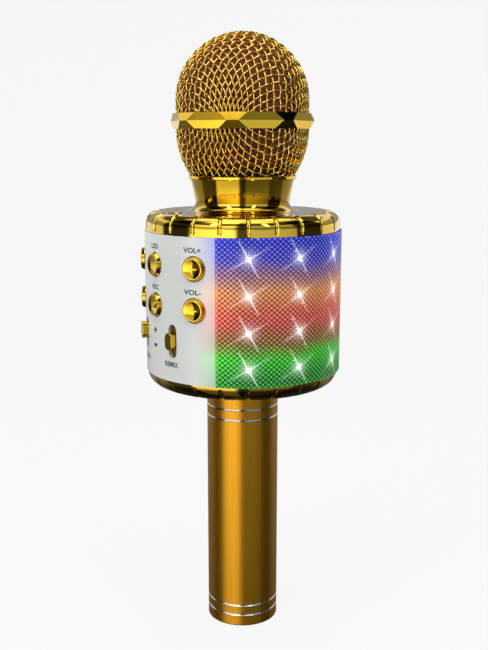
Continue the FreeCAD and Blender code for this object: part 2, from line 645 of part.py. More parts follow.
BUTTONS = {"button_mode": (-COLUMN_AZIMUTH, 0, None), "button_play": (-COLUMN_AZIMUTH, 1, None),
           "button_lights": (0.0, 0, None), "button_record": (0.0, 1, "dot"),
           "button_volume_up": (COLUMN_AZIMUTH, 0, "plus"),
           "button_volume_down": (COLUMN_AZIMUTH, 1, "minus")}
SLIDERS = {"echo": (-SLIDER_AZIMUTH, ECHO_ABOVE_MIDDLE), "remix": (SLIDER_AZIMUTH, REMIX_ABOVE_MIDDLE)}


def control_panel():
    """Curved front panel with the button holes, two slots and four screw posts."""
    panel = sector(PANEL_INNER, PANEL_OUTER, SEAM_BOTTOM_Z + COVER_CLEARANCE, SEAM_TOP_Z - COVER_CLEARANCE,
                   -PANEL_HALF_ANGLE, PANEL_HALF_ANGLE)
    post = disc(PANEL_POST_RADIUS, FRAME_OUTER + LAYER_GAP, PANEL_INNER + PANEL_WALL / 2)
    panel = panel.fuse([radial(post, azimuth, z) for azimuth, z in panel_screw_places()])
    pilot = disc(SMALL_SCREW_RADIUS + SCREW_BITE, FRAME_OUTER - 1, PANEL_INNER + PANEL_WALL / 2)
    holes = [radial(pilot, azimuth, z) for azimuth, z in panel_screw_places()]
    hole = disc(BUTTON_RADIUS + BUTTON_CLEARANCE, PANEL_INNER - 2, PANEL_OUTER + 2)
    holes += [radial(hole, azimuth, BUTTON_ROWS_Z[row]) for azimuth, row, _ in BUTTONS.values()]
    slot = obround(SLOT_WIDTH, SLOT_LENGTH, PANEL_INNER - 2, PANEL_OUTER + 2)
    holes += [radial(slot, azimuth, SLIDER_Z) for azimuth, _ in SLIDERS.values()]
    return panel.cut(holes).removeSplitter()


def speaker_grille():
    """Perforated sheet that wraps the drum from one edge of the panel to the other."""
    start = PANEL_HALF_ANGLE + PANEL_GAP_ANGLE
    return sector(GRILLE_INNER, GRILLE_OUTER, SEAM_BOTTOM_Z + COVER_CLEARANCE,
                  SEAM_TOP_Z - COVER_CLEARANCE, start, 360 - start)


def light_diffuser():
    """Milky sheet behind the grille that spreads the lights."""
    start = PANEL_HALF_ANGLE + PANEL_GAP_ANGLE
    return sector(DIFFUSER_INNER, DIFFUSER_OUTER, SEAM_BOTTOM_Z + COVER_CLEARANCE,
                  SEAM_TOP_Z - COVER_CLEARANCE, start, 360 - start)


def strip_span():
    """Lowest and highest point of each light strip, clear of both lips."""
    return SEAM_BOTTOM_Z + LIP_DEPTH + LAYER_GAP, SEAM_TOP_Z - LIP_DEPTH - LAYER_GAP


def light_strips():
    """Narrow upright boards on the frame's ribs, one for each column of lights."""
    low, high = strip_span()
    strip = block(STRIP_WIDTH, STRIP_THICKNESS, high - low, 0, -(STRIP_INNER + STRIP_THICKNESS / 2), low)
    return around(strip, LIGHT_AZIMUTHS)


def lights():
    """Square light packages, one for each row on each strip."""
    package = block(LIGHT_SIZE, LIGHT_SIZE, LIGHT_HEIGHT, z=STRIP_INNER + STRIP_THICKNESS)
    return [radial(package, azimuth, z) for azimuth in LIGHT_AZIMUTHS for z in LIGHT_ROWS_Z]


# ---- Frame --------------------------------------------------------------------------------------
def drum_frame():
    """Ring frame with windows for the panel, buttons and sound, two baffles, rails and screw bosses."""
    wall = ring(FRAME_INNER, FRAME_OUTER, FRAME_BOTTOM_Z, FRAME_TOP_Z)
    low, high = strip_span()
    low += WINDOW_MARGIN
    high -= WINDOW_MARGIN
    reach = FRAME_OUTER + 2
    windows = [sector(FRAME_INNER - 2, reach, low, high, -PANEL_WINDOW_HALF_ANGLE, PANEL_WINDOW_HALF_ANGLE)]
    for azimuth in LIGHT_AZIMUTHS[:-1]:
        middle = azimuth + LIGHT_COLUMN_PITCH / 2
        windows.append(sector(FRAME_INNER - 2, reach, low, high,
                              middle - WINDOW_HALF_ANGLE, middle + WINDOW_HALF_ANGLE))
    relief = disc(FLANGE_RADIUS + LAYER_GAP, FRAME_INNER - 2, reach)
    windows += [radial(relief, azimuth, BUTTON_ROWS_Z[row]) for azimuth, row, _ in BUTTONS.values()]
    wall = wall.cut(windows)
    inside = disc(FRAME_INNER + FRAME_WALL / 2, FRAME_BOTTOM_Z, FRAME_TOP_Z)
    baffle = block(BAFFLE_WALL, 2 * BAFFLE_HALF_WIDTH, FRAME_TOP_Z - FRAME_BOTTOM_Z,
                   BAFFLE_OFFSET + BAFFLE_WALL / 2, 0, FRAME_BOTTOM_Z).common(inside)
    baffle = baffle.cut(sideways(disc(SPEAKER_OPENING_RADIUS, BAFFLE_OFFSET - 1, BAFFLE_OFFSET + 3)))
    baffle = baffle.cut(speaker_screw_pilots())
    additions = [baffle, turned(baffle, 180)] + rails()
    for x, y in boss_points():
        additions.append(disc(BOSS_RADIUS, FRAME_BOTTOM_Z, FRAME_BOTTOM_Z + BOSS_LENGTH, x, y))
        additions.append(disc(BOSS_RADIUS, TOP_BOSS_Z - TOP_BOSS_LENGTH, TOP_BOSS_Z, x, y))
    frame = wall.fuse(additions).removeSplitter()
    pilots = []
    low_end = FRAME_BOTTOM_Z + BOSS_LENGTH
    for x, y in boss_points():
        pilots.append(disc(SCREW_RADIUS + SCREW_BITE, FRAME_BOTTOM_Z - 1, low_end + 1, x, y))
        pilots.append(disc(SCREW_RADIUS + SCREW_CLEARANCE, TOP_BOSS_Z - TOP_BOSS_LENGTH - 1, TOP_BOSS_Z + 1,
                           x, y))
        pilots.append(disc(BOSS_RADIUS + LAYER_GAP, TOP_BOSS_Z, FRAME_TOP_Z + 1, x, y))
        head_seat = TOP_BOSS_Z - TOP_BOSS_LENGTH
        pilots.append(disc(SCREW_HEAD_RADIUS + SCREW_CLEARANCE, head_seat - 2 * SCREW_HEAD_HEIGHT, head_seat,
                           x, y))
    shank = disc(SMALL_SCREW_RADIUS + SCREW_CLEARANCE, FRAME_INNER - 2, FRAME_OUTER + 2)
    pilots += [radial(shank, azimuth, z) for azimuth, z in panel_screw_places()]
    return frame.cut(pilots).removeSplitter()


def rails():
    """Upright rails with a groove for an edge of each board."""
    front = BOARD_DISTANCE
    back = BOARD_DISTANCE - BOARD_THICKNESS
    edge = BOARD_HALF_WIDTH + RAIL_CLEARANCE
    side_low, side_high = side_board_span()
    low = BOARD_BOTTOM_Z
    high = side_low - RAIL_WALL
    main = block(RAIL_WIDTH, FRAME_INNER - back + RAIL_WALL, high - low,
                 edge - RAIL_BITE + RAIL_WIDTH / 2, -(FRAME_INNER + back - RAIL_WALL) / 2, low)
    groove = block(2 * edge, BOARD_THICKNESS + 2 * RAIL_CLEARANCE, high - low + 2,
                   0, -(front + back) / 2, low - 1)
    main = main.cut(groove).common(disc(FRAME_INNER + FRAME_WALL / 2, FRAME_BOTTOM_Z, FRAME_TOP_Z))
    side_edge = SIDE_BOARD_OUTER + RAIL_CLEARANCE
    side = block(RAIL_WIDTH, side_high - side_low + 2, FRAME_INNER - back + RAIL_WALL,
                 side_edge - RAIL_BITE + RAIL_WIDTH / 2, (side_low + side_high) / 2, back - RAIL_WALL)
    side_groove = block(2 * side_edge, side_high - side_low + 2 * RAIL_CLEARANCE,
                        BOARD_THICKNESS + 2 * RAIL_CLEARANCE, 0, (side_low + side_high) / 2,
                        back - RAIL_CLEARANCE)
    side = radial(side.cut(side_groove), COLUMN_AZIMUTH, 0)
    side = side.common(disc(FRAME_INNER + FRAME_WALL / 2, FRAME_BOTTOM_Z, FRAME_TOP_Z))
    return [main, mirrored(main), side, mirrored(side)]


def mirrored(shape):
    """The same shape on the other side of the panel's middle."""
    return shape.mirror(ORIGIN, X_AXIS)


# ---- Buttons, switches and slide controls -------------------------------------------------------
def button(azimuth, row, sign):
    """Plated push button with a dished face, a retaining flange and a tip in its switch."""
    stem_end = SWITCH_TOP + BUTTON_TRAVEL + STEM_GAP
    round_centre = (BUTTON_FACE_RADIUS - BUTTON_EDGE_ROUND, BUTTON_FACE - BUTTON_EDGE_ROUND)
    dish_ball = (DISH_RADIUS ** 2 + DISH_DEPTH ** 2) / (2 * DISH_DEPTH)
    half_dish = DISH_RADIUS / 2
    dish_floor = BUTTON_FACE - DISH_DEPTH
    dish_middle = (half_dish, dish_floor + dish_ball - math.sqrt(dish_ball ** 2 - half_dish ** 2))
    shape = lathe((0, SWITCH_TOP - TIP_ENTRY), (TIP_RADIUS, SWITCH_TOP - TIP_ENTRY), (TIP_RADIUS, stem_end),
                  (STEM_RADIUS, stem_end), (STEM_RADIUS, FLANGE_OUTER - FLANGE_THICKNESS),
                  (FLANGE_RADIUS, FLANGE_OUTER - FLANGE_THICKNESS), (FLANGE_RADIUS, FLANGE_OUTER),
                  (BUTTON_RADIUS, FLANGE_OUTER), (BUTTON_RADIUS, PANEL_OUTER),
                  (BUTTON_FACE_RADIUS, round_centre[1]),
                  (on_arc(round_centre, BUTTON_EDGE_ROUND, 45), (round_centre[0], BUTTON_FACE)),
                  (DISH_RADIUS, BUTTON_FACE), (dish_middle, (0, dish_floor)))
    low = dish_floor - SIGN_ROOT
    height = BUTTON_FACE - SIGN_BELOW_RIM - low
    bar = block(SIGN_LENGTH, SIGN_WIDTH, height, z=low)
    upright = block(SIGN_WIDTH, SIGN_LENGTH, height, z=low)
    marks = {"plus": [bar, upright], "minus": [bar], "dot": [disc(SIGN_DOT_RADIUS, low, low + height)]}
    if sign:
        shape = shape.fuse(marks[sign]).removeSplitter()
    return radial(shape, azimuth, BUTTON_ROWS_Z[row])


def tact_switches():
    """Square switch under each button, with a well for the button's tip."""
    body = block(SWITCH_SIZE, SWITCH_SIZE, SWITCH_HEIGHT, z=BOARD_DISTANCE)
    well = disc(TIP_RADIUS + SWITCH_BORE_CLEARANCE, SWITCH_TOP - TIP_ENTRY - BUTTON_TRAVEL - STEM_GAP,
                SWITCH_TOP + 1)
    body = body.cut(well)
    return [radial(body, azimuth, BUTTON_ROWS_Z[row]) for azimuth, row, _ in BUTTONS.values()]


def slide_knob(azimuth, above_middle):
    """Slide control's knob, on the curved plate that closes its slot, with a stem into the control."""
    face = PANEL_OUTER + KNOB_PROUD
    knob = obround(KNOB_WIDTH, KNOB_LENGTH, KNOB_PLATE_OUTER - KNOB_PLATE_WALL / 2, face)
    top_edges = [e for e in knob.Edges if all(abs(v.Point.z - face) < 1e-6 for v in e.Vertexes)]
    middle_z = SLIDER_Z + above_middle
    knob = radial(knob.makeFillet(KNOB_EDGE_ROUND, top_edges), azimuth, middle_z)
    half_height = SLOT_LENGTH / 2 + KNOB_TRAVEL + KNOB_END_GAP
    half_angle = math.degrees(KNOB_PLATE_HALF_WIDTH / KNOB_PLATE_OUTER)
    plate = sector(KNOB_PLATE_OUTER - KNOB_PLATE_WALL, KNOB_PLATE_OUTER, middle_z - half_height,
                   middle_z + half_height, azimuth - half_angle, azimuth + half_angle)
    tip = (BOARD_DISTANCE + POT_HEIGHT) / math.cos(math.radians(azimuth)) - KNOB_STEM_ENTRY
    stem = block(KNOB_STEM_WIDTH, KNOB_STEM_LENGTH, KNOB_PLATE_OUTER - KNOB_PLATE_WALL / 2 - tip, z=tip)
    return plate.fuse([knob, radial(stem, azimuth, middle_z)]).removeSplitter()


def slide_control(azimuth):
    """Slide potentiometer's can, open along the lever's slot."""
    x = math.copysign(POT_X, azimuth)
    can = block(POT_WIDTH, POT_LENGTH, POT_HEIGHT, x, 0, BOARD_DISTANCE)
    hollow = block(POT_WIDTH - 2 * POT_WALL, POT_LENGTH - 2 * POT_WALL, POT_HEIGHT - 2 * POT_WALL,
                   x, 0, BOARD_DISTANCE + POT_WALL)
    slot = block(KNOB_STEM_WIDTH + 2 * POT_LEVER_CLEARANCE,
                 KNOB_STEM_LENGTH + 2 * KNOB_TRAVEL + 2 * POT_LEVER_CLEARANCE, 2 * POT_HEIGHT,
                 x, 0, BOARD_DISTANCE + POT_HEIGHT / 2)
    return radial(can.cut([hollow, slot]), 0, SLIDER_Z)


# ---- Boards, ports and jack ---------------------------------------------------------------------
def side_board_span():
    """Lowest and highest point of each side board."""
    return BUTTON_ROWS_Z[1] - SIDE_BOARD_BELOW, BUTTON_ROWS_Z[0] + SIDE_BOARD_ABOVE


def main_board():
    """Flat board behind the middle of the panel."""
    y = -(BOARD_DISTANCE - BOARD_THICKNESS / 2)
    return block(2 * BOARD_HALF_WIDTH, BOARD_THICKNESS, BOARD_TOP_Z - BOARD_BOTTOM_Z, 0, y, BOARD_BOTTOM_Z)


def side_board(side):
    """Small board square to one outer column of buttons."""
    low, high = side_board_span()
    width = SIDE_BOARD_INNER + SIDE_BOARD_OUTER
    board = block(width, high - low, BOARD_THICKNESS, (SIDE_BOARD_OUTER - SIDE_BOARD_INNER) / 2,
                  (low + high) / 2, BOARD_DISTANCE - BOARD_THICKNESS)
    board = radial(board, COLUMN_AZIMUTH, 0)
    return board if side > 0 else mirrored(board)


def board_chips():
    """Packages on the main board's back: radio, amplifier, memory and a capacitor."""
    back = -(BOARD_DISTANCE - BOARD_THICKNESS)
    chips = [block(width, CHIP_HEIGHT, height, x, back + CHIP_HEIGHT / 2, DRUM_MIDDLE_Z + up - height / 2)
             for width, height, x, up in CHIPS]
    x, up = CAPACITOR_PLACE
    can = Part.makeCylinder(CAPACITOR_RADIUS, CAPACITOR_LENGTH, Vector(x, back, DRUM_MIDDLE_Z + up),
                            Vector(0, 1, 0))
    return chips + [can]


def port_middle_y():
    """Middle of the charging port, which lies on the board's back."""
    return -(BOARD_DISTANCE - BOARD_THICKNESS) + PORT_HEIGHT / 2


def card_middle_y():
    """Middle of the card slot, which lies on the board's back."""
    return -(BOARD_DISTANCE - BOARD_THICKNESS) + CARD_HEIGHT / 2


def charging_port():
    """Small metal charging socket that opens downwards, with a tongue inside."""
    low = DRUM_BOTTOM_Z + PORT_RECESS
    shell = block(PORT_WIDTH, PORT_HEIGHT, PORT_DEPTH, PORT_OFFSET, port_middle_y(), low)
    inside = block(PORT_WIDTH - 2 * PORT_WALL, PORT_HEIGHT - 2 * PORT_WALL, PORT_DEPTH,
                   PORT_OFFSET, port_middle_y(), low - PORT_WALL)
    tongue = block(TONGUE_WIDTH, TONGUE_THICKNESS, PORT_DEPTH - TONGUE_INSET,
                   PORT_OFFSET, port_middle_y(), low + TONGUE_INSET)
    return shell.cut(inside).fuse(tongue).removeSplitter()


def card_reader():
    """Memory-card socket that opens downwards."""
    low = DRUM_BOTTOM_Z + PORT_RECESS
    shell = block(CARD_WIDTH, CARD_HEIGHT, CARD_DEPTH, CARD_OFFSET, card_middle_y(), low)
    slot = block(CARD_SLOT_WIDTH, CARD_SLOT_HEIGHT, CARD_SLOT_DEPTH, CARD_OFFSET, card_middle_y(), low)
    return shell.cut(slot)


def audio_jack():
    """Round audio socket that opens upwards through the top cover."""
    top = DRUM_TOP_Z - JACK_DISH_DEPTH
    body_top = CEILING_Z - LAYER_GAP
    body = block(JACK_BODY_SIZE, JACK_BODY_SIZE, JACK_BODY_HEIGHT, 0, -JACK_PITCH_RADIUS,
                 body_top - JACK_BODY_HEIGHT)
    nose = disc(JACK_NOSE_RADIUS, body_top - 1, top, y=-JACK_PITCH_RADIUS)
    bore = disc(JACK_BORE_RADIUS, top - JACK_BORE_DEPTH, top + 1, y=-JACK_PITCH_RADIUS)
    return body.fuse(nose).cut(bore).removeSplitter()


# ---- Loudspeakers -------------------------------------------------------------------------------
def sideways(shape):
    """Lays a shape made along +Z along +X at the loudspeakers' height."""
    copy = shape.copy()
    copy.rotate(ORIGIN, Vector(0, 1, 0), 90)
    copy.translate(Vector(0, 0, DRUM_MIDDLE_Z))
    return copy


def both_sides(shape):
    """The right-hand piece and the same piece turned round to the left."""
    return shape, turned(shape, 180)


def speaker_screw_points():
    """Places of the four screws round a loudspeaker's flange, before it is laid on its side."""
    turns = [math.radians(45 + 90 * i) for i in range(4)]
    pitch_radius = SPEAKER_SCREW_PITCH_RADIUS
    return [(pitch_radius * math.cos(t), pitch_radius * math.sin(t)) for t in turns]


def speaker_screw_pilots():
    """Holes for the loudspeaker screws in the right-hand baffle."""
    radius = SMALL_SCREW_RADIUS + SCREW_BITE
    far = BAFFLE_OFFSET + BAFFLE_WALL + 1
    return [sideways(disc(radius, BAFFLE_OFFSET - 1, far, x, y)) for x, y in speaker_screw_points()]


def speaker_basket():
    """Pressed frame of a loudspeaker: a flange and a tapering basket."""
    front = BAFFLE_OFFSET
    back = front - SPEAKER_DEPTH
    flange_back = front - SPEAKER_FLANGE
    taper = SPEAKER_SKIN
    basket = lathe((SPEAKER_OPENING_RADIUS, front), (SPEAKER_RADIUS, front), (SPEAKER_RADIUS, flange_back),
                   (SPEAKER_OPENING_RADIUS + taper, flange_back), (SPEAKER_BACK_RADIUS, back),
                   (0, back), (0, back + SPEAKER_SKIN), (SPEAKER_BACK_RADIUS - taper, back + SPEAKER_SKIN),
                   (SPEAKER_OPENING_RADIUS - taper / 2, flange_back), (SPEAKER_OPENING_RADIUS, flange_back))
    shank = SMALL_SCREW_RADIUS + SCREW_CLEARANCE
    holes = [disc(shank, back, front + 1, x, y) for x, y in speaker_screw_points()]
    return sideways(basket.cut(holes))


def speaker_magnet():
    """Ring magnet and yoke on the basket's back."""
    high = BAFFLE_OFFSET - SPEAKER_DEPTH
    return sideways(disc(MAGNET_RADIUS, high - MAGNET_LENGTH, high))


def speaker_cone():
    """Paper cone with a rolled surround and a dust cap, in one piece."""
    rim = BAFFLE_OFFSET - SPEAKER_FLANGE / 2
    throat = rim - CONE_DEPTH
    skin = CONE_SKIN
    edge = CONE_RADIUS - ROLL_WIDTH
    roll_top = (CONE_RADIUS - ROLL_WIDTH / 2, rim + ROLL_RISE)
    roll_under = (CONE_RADIUS - ROLL_WIDTH / 2, rim + ROLL_RISE - skin)
    cap_ball = (CONE_THROAT ** 2 + CAP_RISE ** 2) / (2 * CAP_RISE)
    half_throat = CONE_THROAT / 2
    cap_side = CAP_RISE - cap_ball + math.sqrt(cap_ball ** 2 - half_throat ** 2)
    cone = lathe((0, throat + CAP_RISE), ((half_throat, throat + cap_side), (CONE_THROAT, throat)),
                 (edge, rim), (roll_top, (CONE_RADIUS, rim)), (CONE_RADIUS, rim - skin),
                 (roll_under, (edge, rim - skin)), (CONE_THROAT, throat - skin),
                 ((half_throat, throat + cap_side - skin), (0, throat + CAP_RISE - skin)))
    return sideways(cone)


def speaker_screws():
    """Four small screws from the back of each loudspeaker's flange into its baffle."""
    fastener = screw(SMALL_SCREW_RADIUS, SPEAKER_FLANGE + BAFFLE_WALL, SMALL_SCREW_HEAD_RADIUS,
                     SMALL_SCREW_HEAD_HEIGHT)
    fastener.translate(Vector(0, 0, BAFFLE_OFFSET - SPEAKER_FLANGE))
    placed = []
    for x, y in speaker_screw_points():
        copy = fastener.copy()
        copy.translate(Vector(x, y, 0))
        placed += both_sides(sideways(copy))
    return placed


def speaker_leads():
    """A lead from each magnet's back plate to the main board."""
    back = BAFFLE_OFFSET - SPEAKER_DEPTH - MAGNET_LENGTH
    board_back = -(BOARD_DISTANCE - BOARD_THICKNESS)
    z = DRUM_MIDDLE_Z + SPEAKER_LEAD_ABOVE_MIDDLE
    bend = back - SPEAKER_LEAD_REACH
    right = lead(SPEAKER_LEAD_RADIUS, [(back, 0, z), (bend, 0, z), (bend, board_back, z)])
    return [right, mirrored(right)]


# ---- Screws in the drum -------------------------------------------------------------------------
def bottom_cover_screws():
    """Screws from under the bottom cover into the frame."""
    fastener = screw(SCREW_RADIUS, BOSS_LENGTH, SCREW_HEAD_RADIUS, SCREW_HEAD_HEIGHT)
    placed = []
    for x, y in boss_points():
        copy = fastener.copy()
        copy.translate(Vector(x, y, DRUM_BOTTOM_Z + SCREW_HEAD_HEIGHT))
        placed.append(copy)
    return placed


def top_cover_screws():
    """Screws from inside the frame up into the top cover's posts."""
    length = TOP_BOSS_LENGTH + TOP_POST_LENGTH - SCREW_END_GAP
    fastener = screw(SCREW_RADIUS, length, SCREW_HEAD_RADIUS, SCREW_HEAD_HEIGHT)
    placed = []
    for x, y in boss_points():
        copy = fastener.copy()
        copy.translate(Vector(x, y, TOP_BOSS_Z - TOP_BOSS_LENGTH))
        placed.append(copy)
    return placed


def panel_screws():
    """Screws from inside the frame out into the panel's posts."""
    seat = math.sqrt(FRAME_INNER ** 2 - SMALL_SCREW_HEAD_RADIUS ** 2)
    fastener = screw(SMALL_SCREW_RADIUS, PANEL_INNER - seat, SMALL_SCREW_HEAD_RADIUS,
                     SMALL_SCREW_HEAD_HEIGHT)
    fastener.translate(Vector(0, 0, seat))
    return [radial(fastener, azimuth, z) for azimuth, z in panel_screw_places()]


# ---- Head ---------------------------------------------------------------------------------------
def head_collar():
    """Plated collar that screws onto the neck and holds the lower mesh."""
    waist_z = COLLAR_TOP_Z - COLLAR_RIM_HEIGHT
    flare_middle = (COLLAR_FOOT_RADIUS + 0.42 * (COLLAR_WAIST_RADIUS - COLLAR_FOOT_RADIUS),
                    (COLLAR_BOTTOM_Z + waist_z) / 2)
    bore = SPIGOT_RADIUS + SPIGOT_CLEARANCE
    return lathe((bore, COLLAR_BOTTOM_Z), (COLLAR_FOOT_RADIUS, COLLAR_BOTTOM_Z),
                 (flare_middle, (COLLAR_WAIST_RADIUS, waist_z)),
                 (COLLAR_RIM_RADIUS - COLLAR_EDGE_BREAK, waist_z),
                 (COLLAR_RIM_RADIUS, waist_z + COLLAR_EDGE_BREAK),
                 (COLLAR_RIM_RADIUS, COLLAR_TOP_Z - COLLAR_EDGE_BREAK),
                 (COLLAR_RIM_RADIUS - COLLAR_EDGE_BREAK, COLLAR_TOP_Z),
                 (COLLAR_POCKET_TOP, COLLAR_TOP_Z), (COLLAR_POCKET_FLOOR, COLLAR_FLOOR_Z),
                 (bore, COLLAR_FLOOR_Z))


def bowl_point(inset, z):
    """The (r, z) point of the lower bowl's curve, inset from the mesh's outside, at a height."""
    radius = MESH_BOWL_RADIUS - inset
    return (MESH_RADIUS - MESH_BOWL_RADIUS + math.sqrt(radius ** 2 - (BAND_BOTTOM_Z - z) ** 2), z)


def bowl_shell(outer_inset, inner_inset, low, high):
    """Outline steps of a bowl wall between two heights, from its outer top down and back up inside."""
    middle = (low + BAND_BOTTOM_Z) / 2
    return [(MESH_RADIUS - outer_inset, high), (MESH_RADIUS - outer_inset, BAND_BOTTOM_Z),
            (bowl_point(outer_inset, middle), bowl_point(outer_inset, low)), bowl_point(inner_inset, low),
            (bowl_point(inner_inset, middle), (MESH_RADIUS - inner_inset, BAND_BOTTOM_Z)),
            (MESH_RADIUS - inner_inset, high)]


def lower_mesh():
    """Lower bowl of the wire head, as a shell as thick as its woven wire."""
    high = BAND_MIDDLE_Z - MESH_SPLIT_GAP / 2
    return lathe(*bowl_shell(0, MESH_WALL, COLLAR_FLOOR_Z + BAND_CLEARANCE, high))


def upper_mesh():
    """Upper dome of the wire head, as a shell as thick as its woven wire."""
    low = BAND_MIDDLE_Z + MESH_SPLIT_GAP / 2
    centre = (0, DOME_CENTRE_Z)
    inner = MESH_RADIUS - MESH_WALL
    return lathe((MESH_RADIUS, low), (MESH_RADIUS, DOME_CENTRE_Z),
                 (on_arc(centre, MESH_RADIUS, 45), (0, DOME_CENTRE_Z + MESH_RADIUS)),
                 (0, DOME_CENTRE_Z + inner),
                 (on_arc(centre, inner, 45), (inner, DOME_CENTRE_Z)), (inner, low))


def head_band():
    """Plated band over the mesh's joint, cut with long hexagonal facets round its outside."""
    def ring_point(radius, azimuth, z):
        turn = math.radians(azimuth)
        return Vector(radius * math.sin(turn), -radius * math.cos(turn), z)

    faces = []
    rims = {BAND_TOP_Z: [], BAND_BOTTOM_Z: []}
    pitch = 360.0 / BAND_FACETS
    for i in range(BAND_FACETS):
        middle = BAND_PHASE + pitch * i
        ends = (-FACET_RIDGE_HALF_ANGLE, FACET_RIDGE_HALF_ANGLE, pitch - FACET_RIDGE_HALF_ANGLE)
        ridge = [ring_point(BAND_RIDGE_RADIUS, middle + turn, BAND_MIDDLE_Z) for turn in ends]
        for z, rim in rims.items():
            ends = (-FACET_EDGE_HALF_ANGLE, FACET_EDGE_HALF_ANGLE, pitch - FACET_EDGE_HALF_ANGLE)
            edge = [ring_point(BAND_EDGE_RADIUS, middle + turn, z) for turn in ends]
            for j in (0, 1):
                corners = [ridge[j], ridge[j + 1], edge[j + 1], edge[j], ridge[j]]
                faces.append(Part.Face(Part.makePolygon(corners)))
            rim += edge[:2]
    faces += [Part.Face(Part.makePolygon(rim + rim[:1])) for rim in rims.values()]
    body = Part.Solid(Part.Shell(faces))
    if body.Volume < 0:
        body.reverse()
    bore = disc(MESH_RADIUS + BAND_CLEARANCE, BAND_BOTTOM_Z - 1, BAND_TOP_Z + 1)
    return body.cut(bore)


def foam_retainer():
    """Dark ring inside the bottom of the lower mesh that keeps the mesh and foam down."""
    low = COLLAR_FLOOR_Z + BAND_CLEARANCE
    high = low + RETAINER_HEIGHT
    foot = bowl_point(MESH_WALL + BAND_CLEARANCE, low)
    head = bowl_point(MESH_WALL + BAND_CLEARANCE, high)
    middle = bowl_point(MESH_WALL + BAND_CLEARANCE, (low + high) / 2)
    return lathe((RETAINER_BORE_RADIUS, low), foot, (middle, head), (head[0] - RETAINER_WALL, high),
                 (RETAINER_BORE_RADIUS, low + RETAINER_LAND))


def foam_liner():
    """Foam windscreen that lines the whole head."""
    low = COLLAR_FLOOR_Z + BAND_CLEARANCE + RETAINER_HEIGHT + BAND_CLEARANCE
    outer_inset = MESH_WALL + FOAM_GAP
    inner_inset = outer_inset + FOAM_WALL
    steps = bowl_shell(outer_inset, inner_inset, low, DOME_CENTRE_Z)
    outer = MESH_RADIUS - outer_inset
    inner = MESH_RADIUS - inner_inset
    centre = (0, DOME_CENTRE_Z)
    return lathe(*steps, (on_arc(centre, inner, 45), (0, DOME_CENTRE_Z + inner)), (0, DOME_CENTRE_Z + outer),
                 (on_arc(centre, outer, 45), on_arc(centre, outer, 0)))


# ---- Capsule ------------------------------------------------------------------------------------
POST_BASE_Z = SPIGOT_TOP_Z
TOWER_TOP_Z = POST_BASE_Z + POST_FLANGE + POST_TOWER_HEIGHT
CUP_TOP_Z = TOWER_TOP_Z + CUP_FLOOR + CUP_DEPTH


def capsule_post():
    """Plastic tower on the neck's spigot that carries the capsule in the middle of the head."""
    skirt = NECK_BORE_RADIUS - TUBE_CLEARANCE
    skirt_end = POST_BASE_Z - POST_SKIRT_LENGTH
    shoulder = POST_BASE_Z + POST_FLANGE
    return lathe((skirt - POST_WALL, skirt_end), (skirt, skirt_end),
                 (skirt, POST_BASE_Z), (POST_FLANGE_RADIUS, POST_BASE_Z), (POST_FLANGE_RADIUS, shoulder),
                 (skirt, shoulder), (POST_TOWER_RADIUS, TOWER_TOP_Z), (POST_WIRE_RADIUS, TOWER_TOP_Z),
                 (POST_WIRE_RADIUS, TOWER_TOP_Z - POST_WALL),
                 (POST_TOWER_RADIUS - POST_WALL, TOWER_TOP_Z - POST_WALL),
                 (skirt - POST_WALL, shoulder - POST_SHOULDER_DROP))


def capsule_cup():
    """Rubber cup that keeps handling noise from the capsule."""
    return lathe((POST_WIRE_RADIUS, TOWER_TOP_Z), (CUP_RADIUS, TOWER_TOP_Z), (CUP_RADIUS, CUP_TOP_Z),
                 (CUP_RADIUS - CUP_WALL, CUP_TOP_Z), (CUP_RADIUS - CUP_WALL, TOWER_TOP_Z + CUP_FLOOR),
                 (POST_WIRE_RADIUS, TOWER_TOP_Z + CUP_FLOOR))


def microphone_capsule():
    """Round microphone capsule with a ring of sound holes in its face."""
    low = TOWER_TOP_Z + CUP_FLOOR
    high = low + CAPSULE_LENGTH
    radius = CUP_RADIUS - CUP_WALL
    centre = (radius - CAPSULE_FACE_ROUND, high - CAPSULE_FACE_ROUND)
    body = lathe((0, low), (radius, low), (radius, centre[1]),
                 (on_arc(centre, CAPSULE_FACE_ROUND, 45), (centre[0], high)), (0, high))
    hole = disc(CAPSULE_HOLE_RADIUS, high - CAPSULE_HOLE_DEPTH, high + 1, y=-CAPSULE_HOLE_RING)
    holes = around(hole, [360.0 * i / CAPSULE_HOLES for i in range(CAPSULE_HOLES)])
    holes.append(disc(CAPSULE_HOLE_RADIUS, high - CAPSULE_HOLE_DEPTH, high + 1))
    return body.cut(holes)


def microphone_lead():
    """Lead from the capsule down through the neck to the top of the main board's back."""
    board_back = -(BOARD_DISTANCE - BOARD_THICKNESS)
    fall = BOARD_TOP_Z - MIC_LEAD_BELOW_BOARD_TOP
    return lead(MIC_LEAD_RADIUS, [(0, 0, TOWER_TOP_Z + CUP_FLOOR), (0, 0, fall), (0, board_back, fall)])


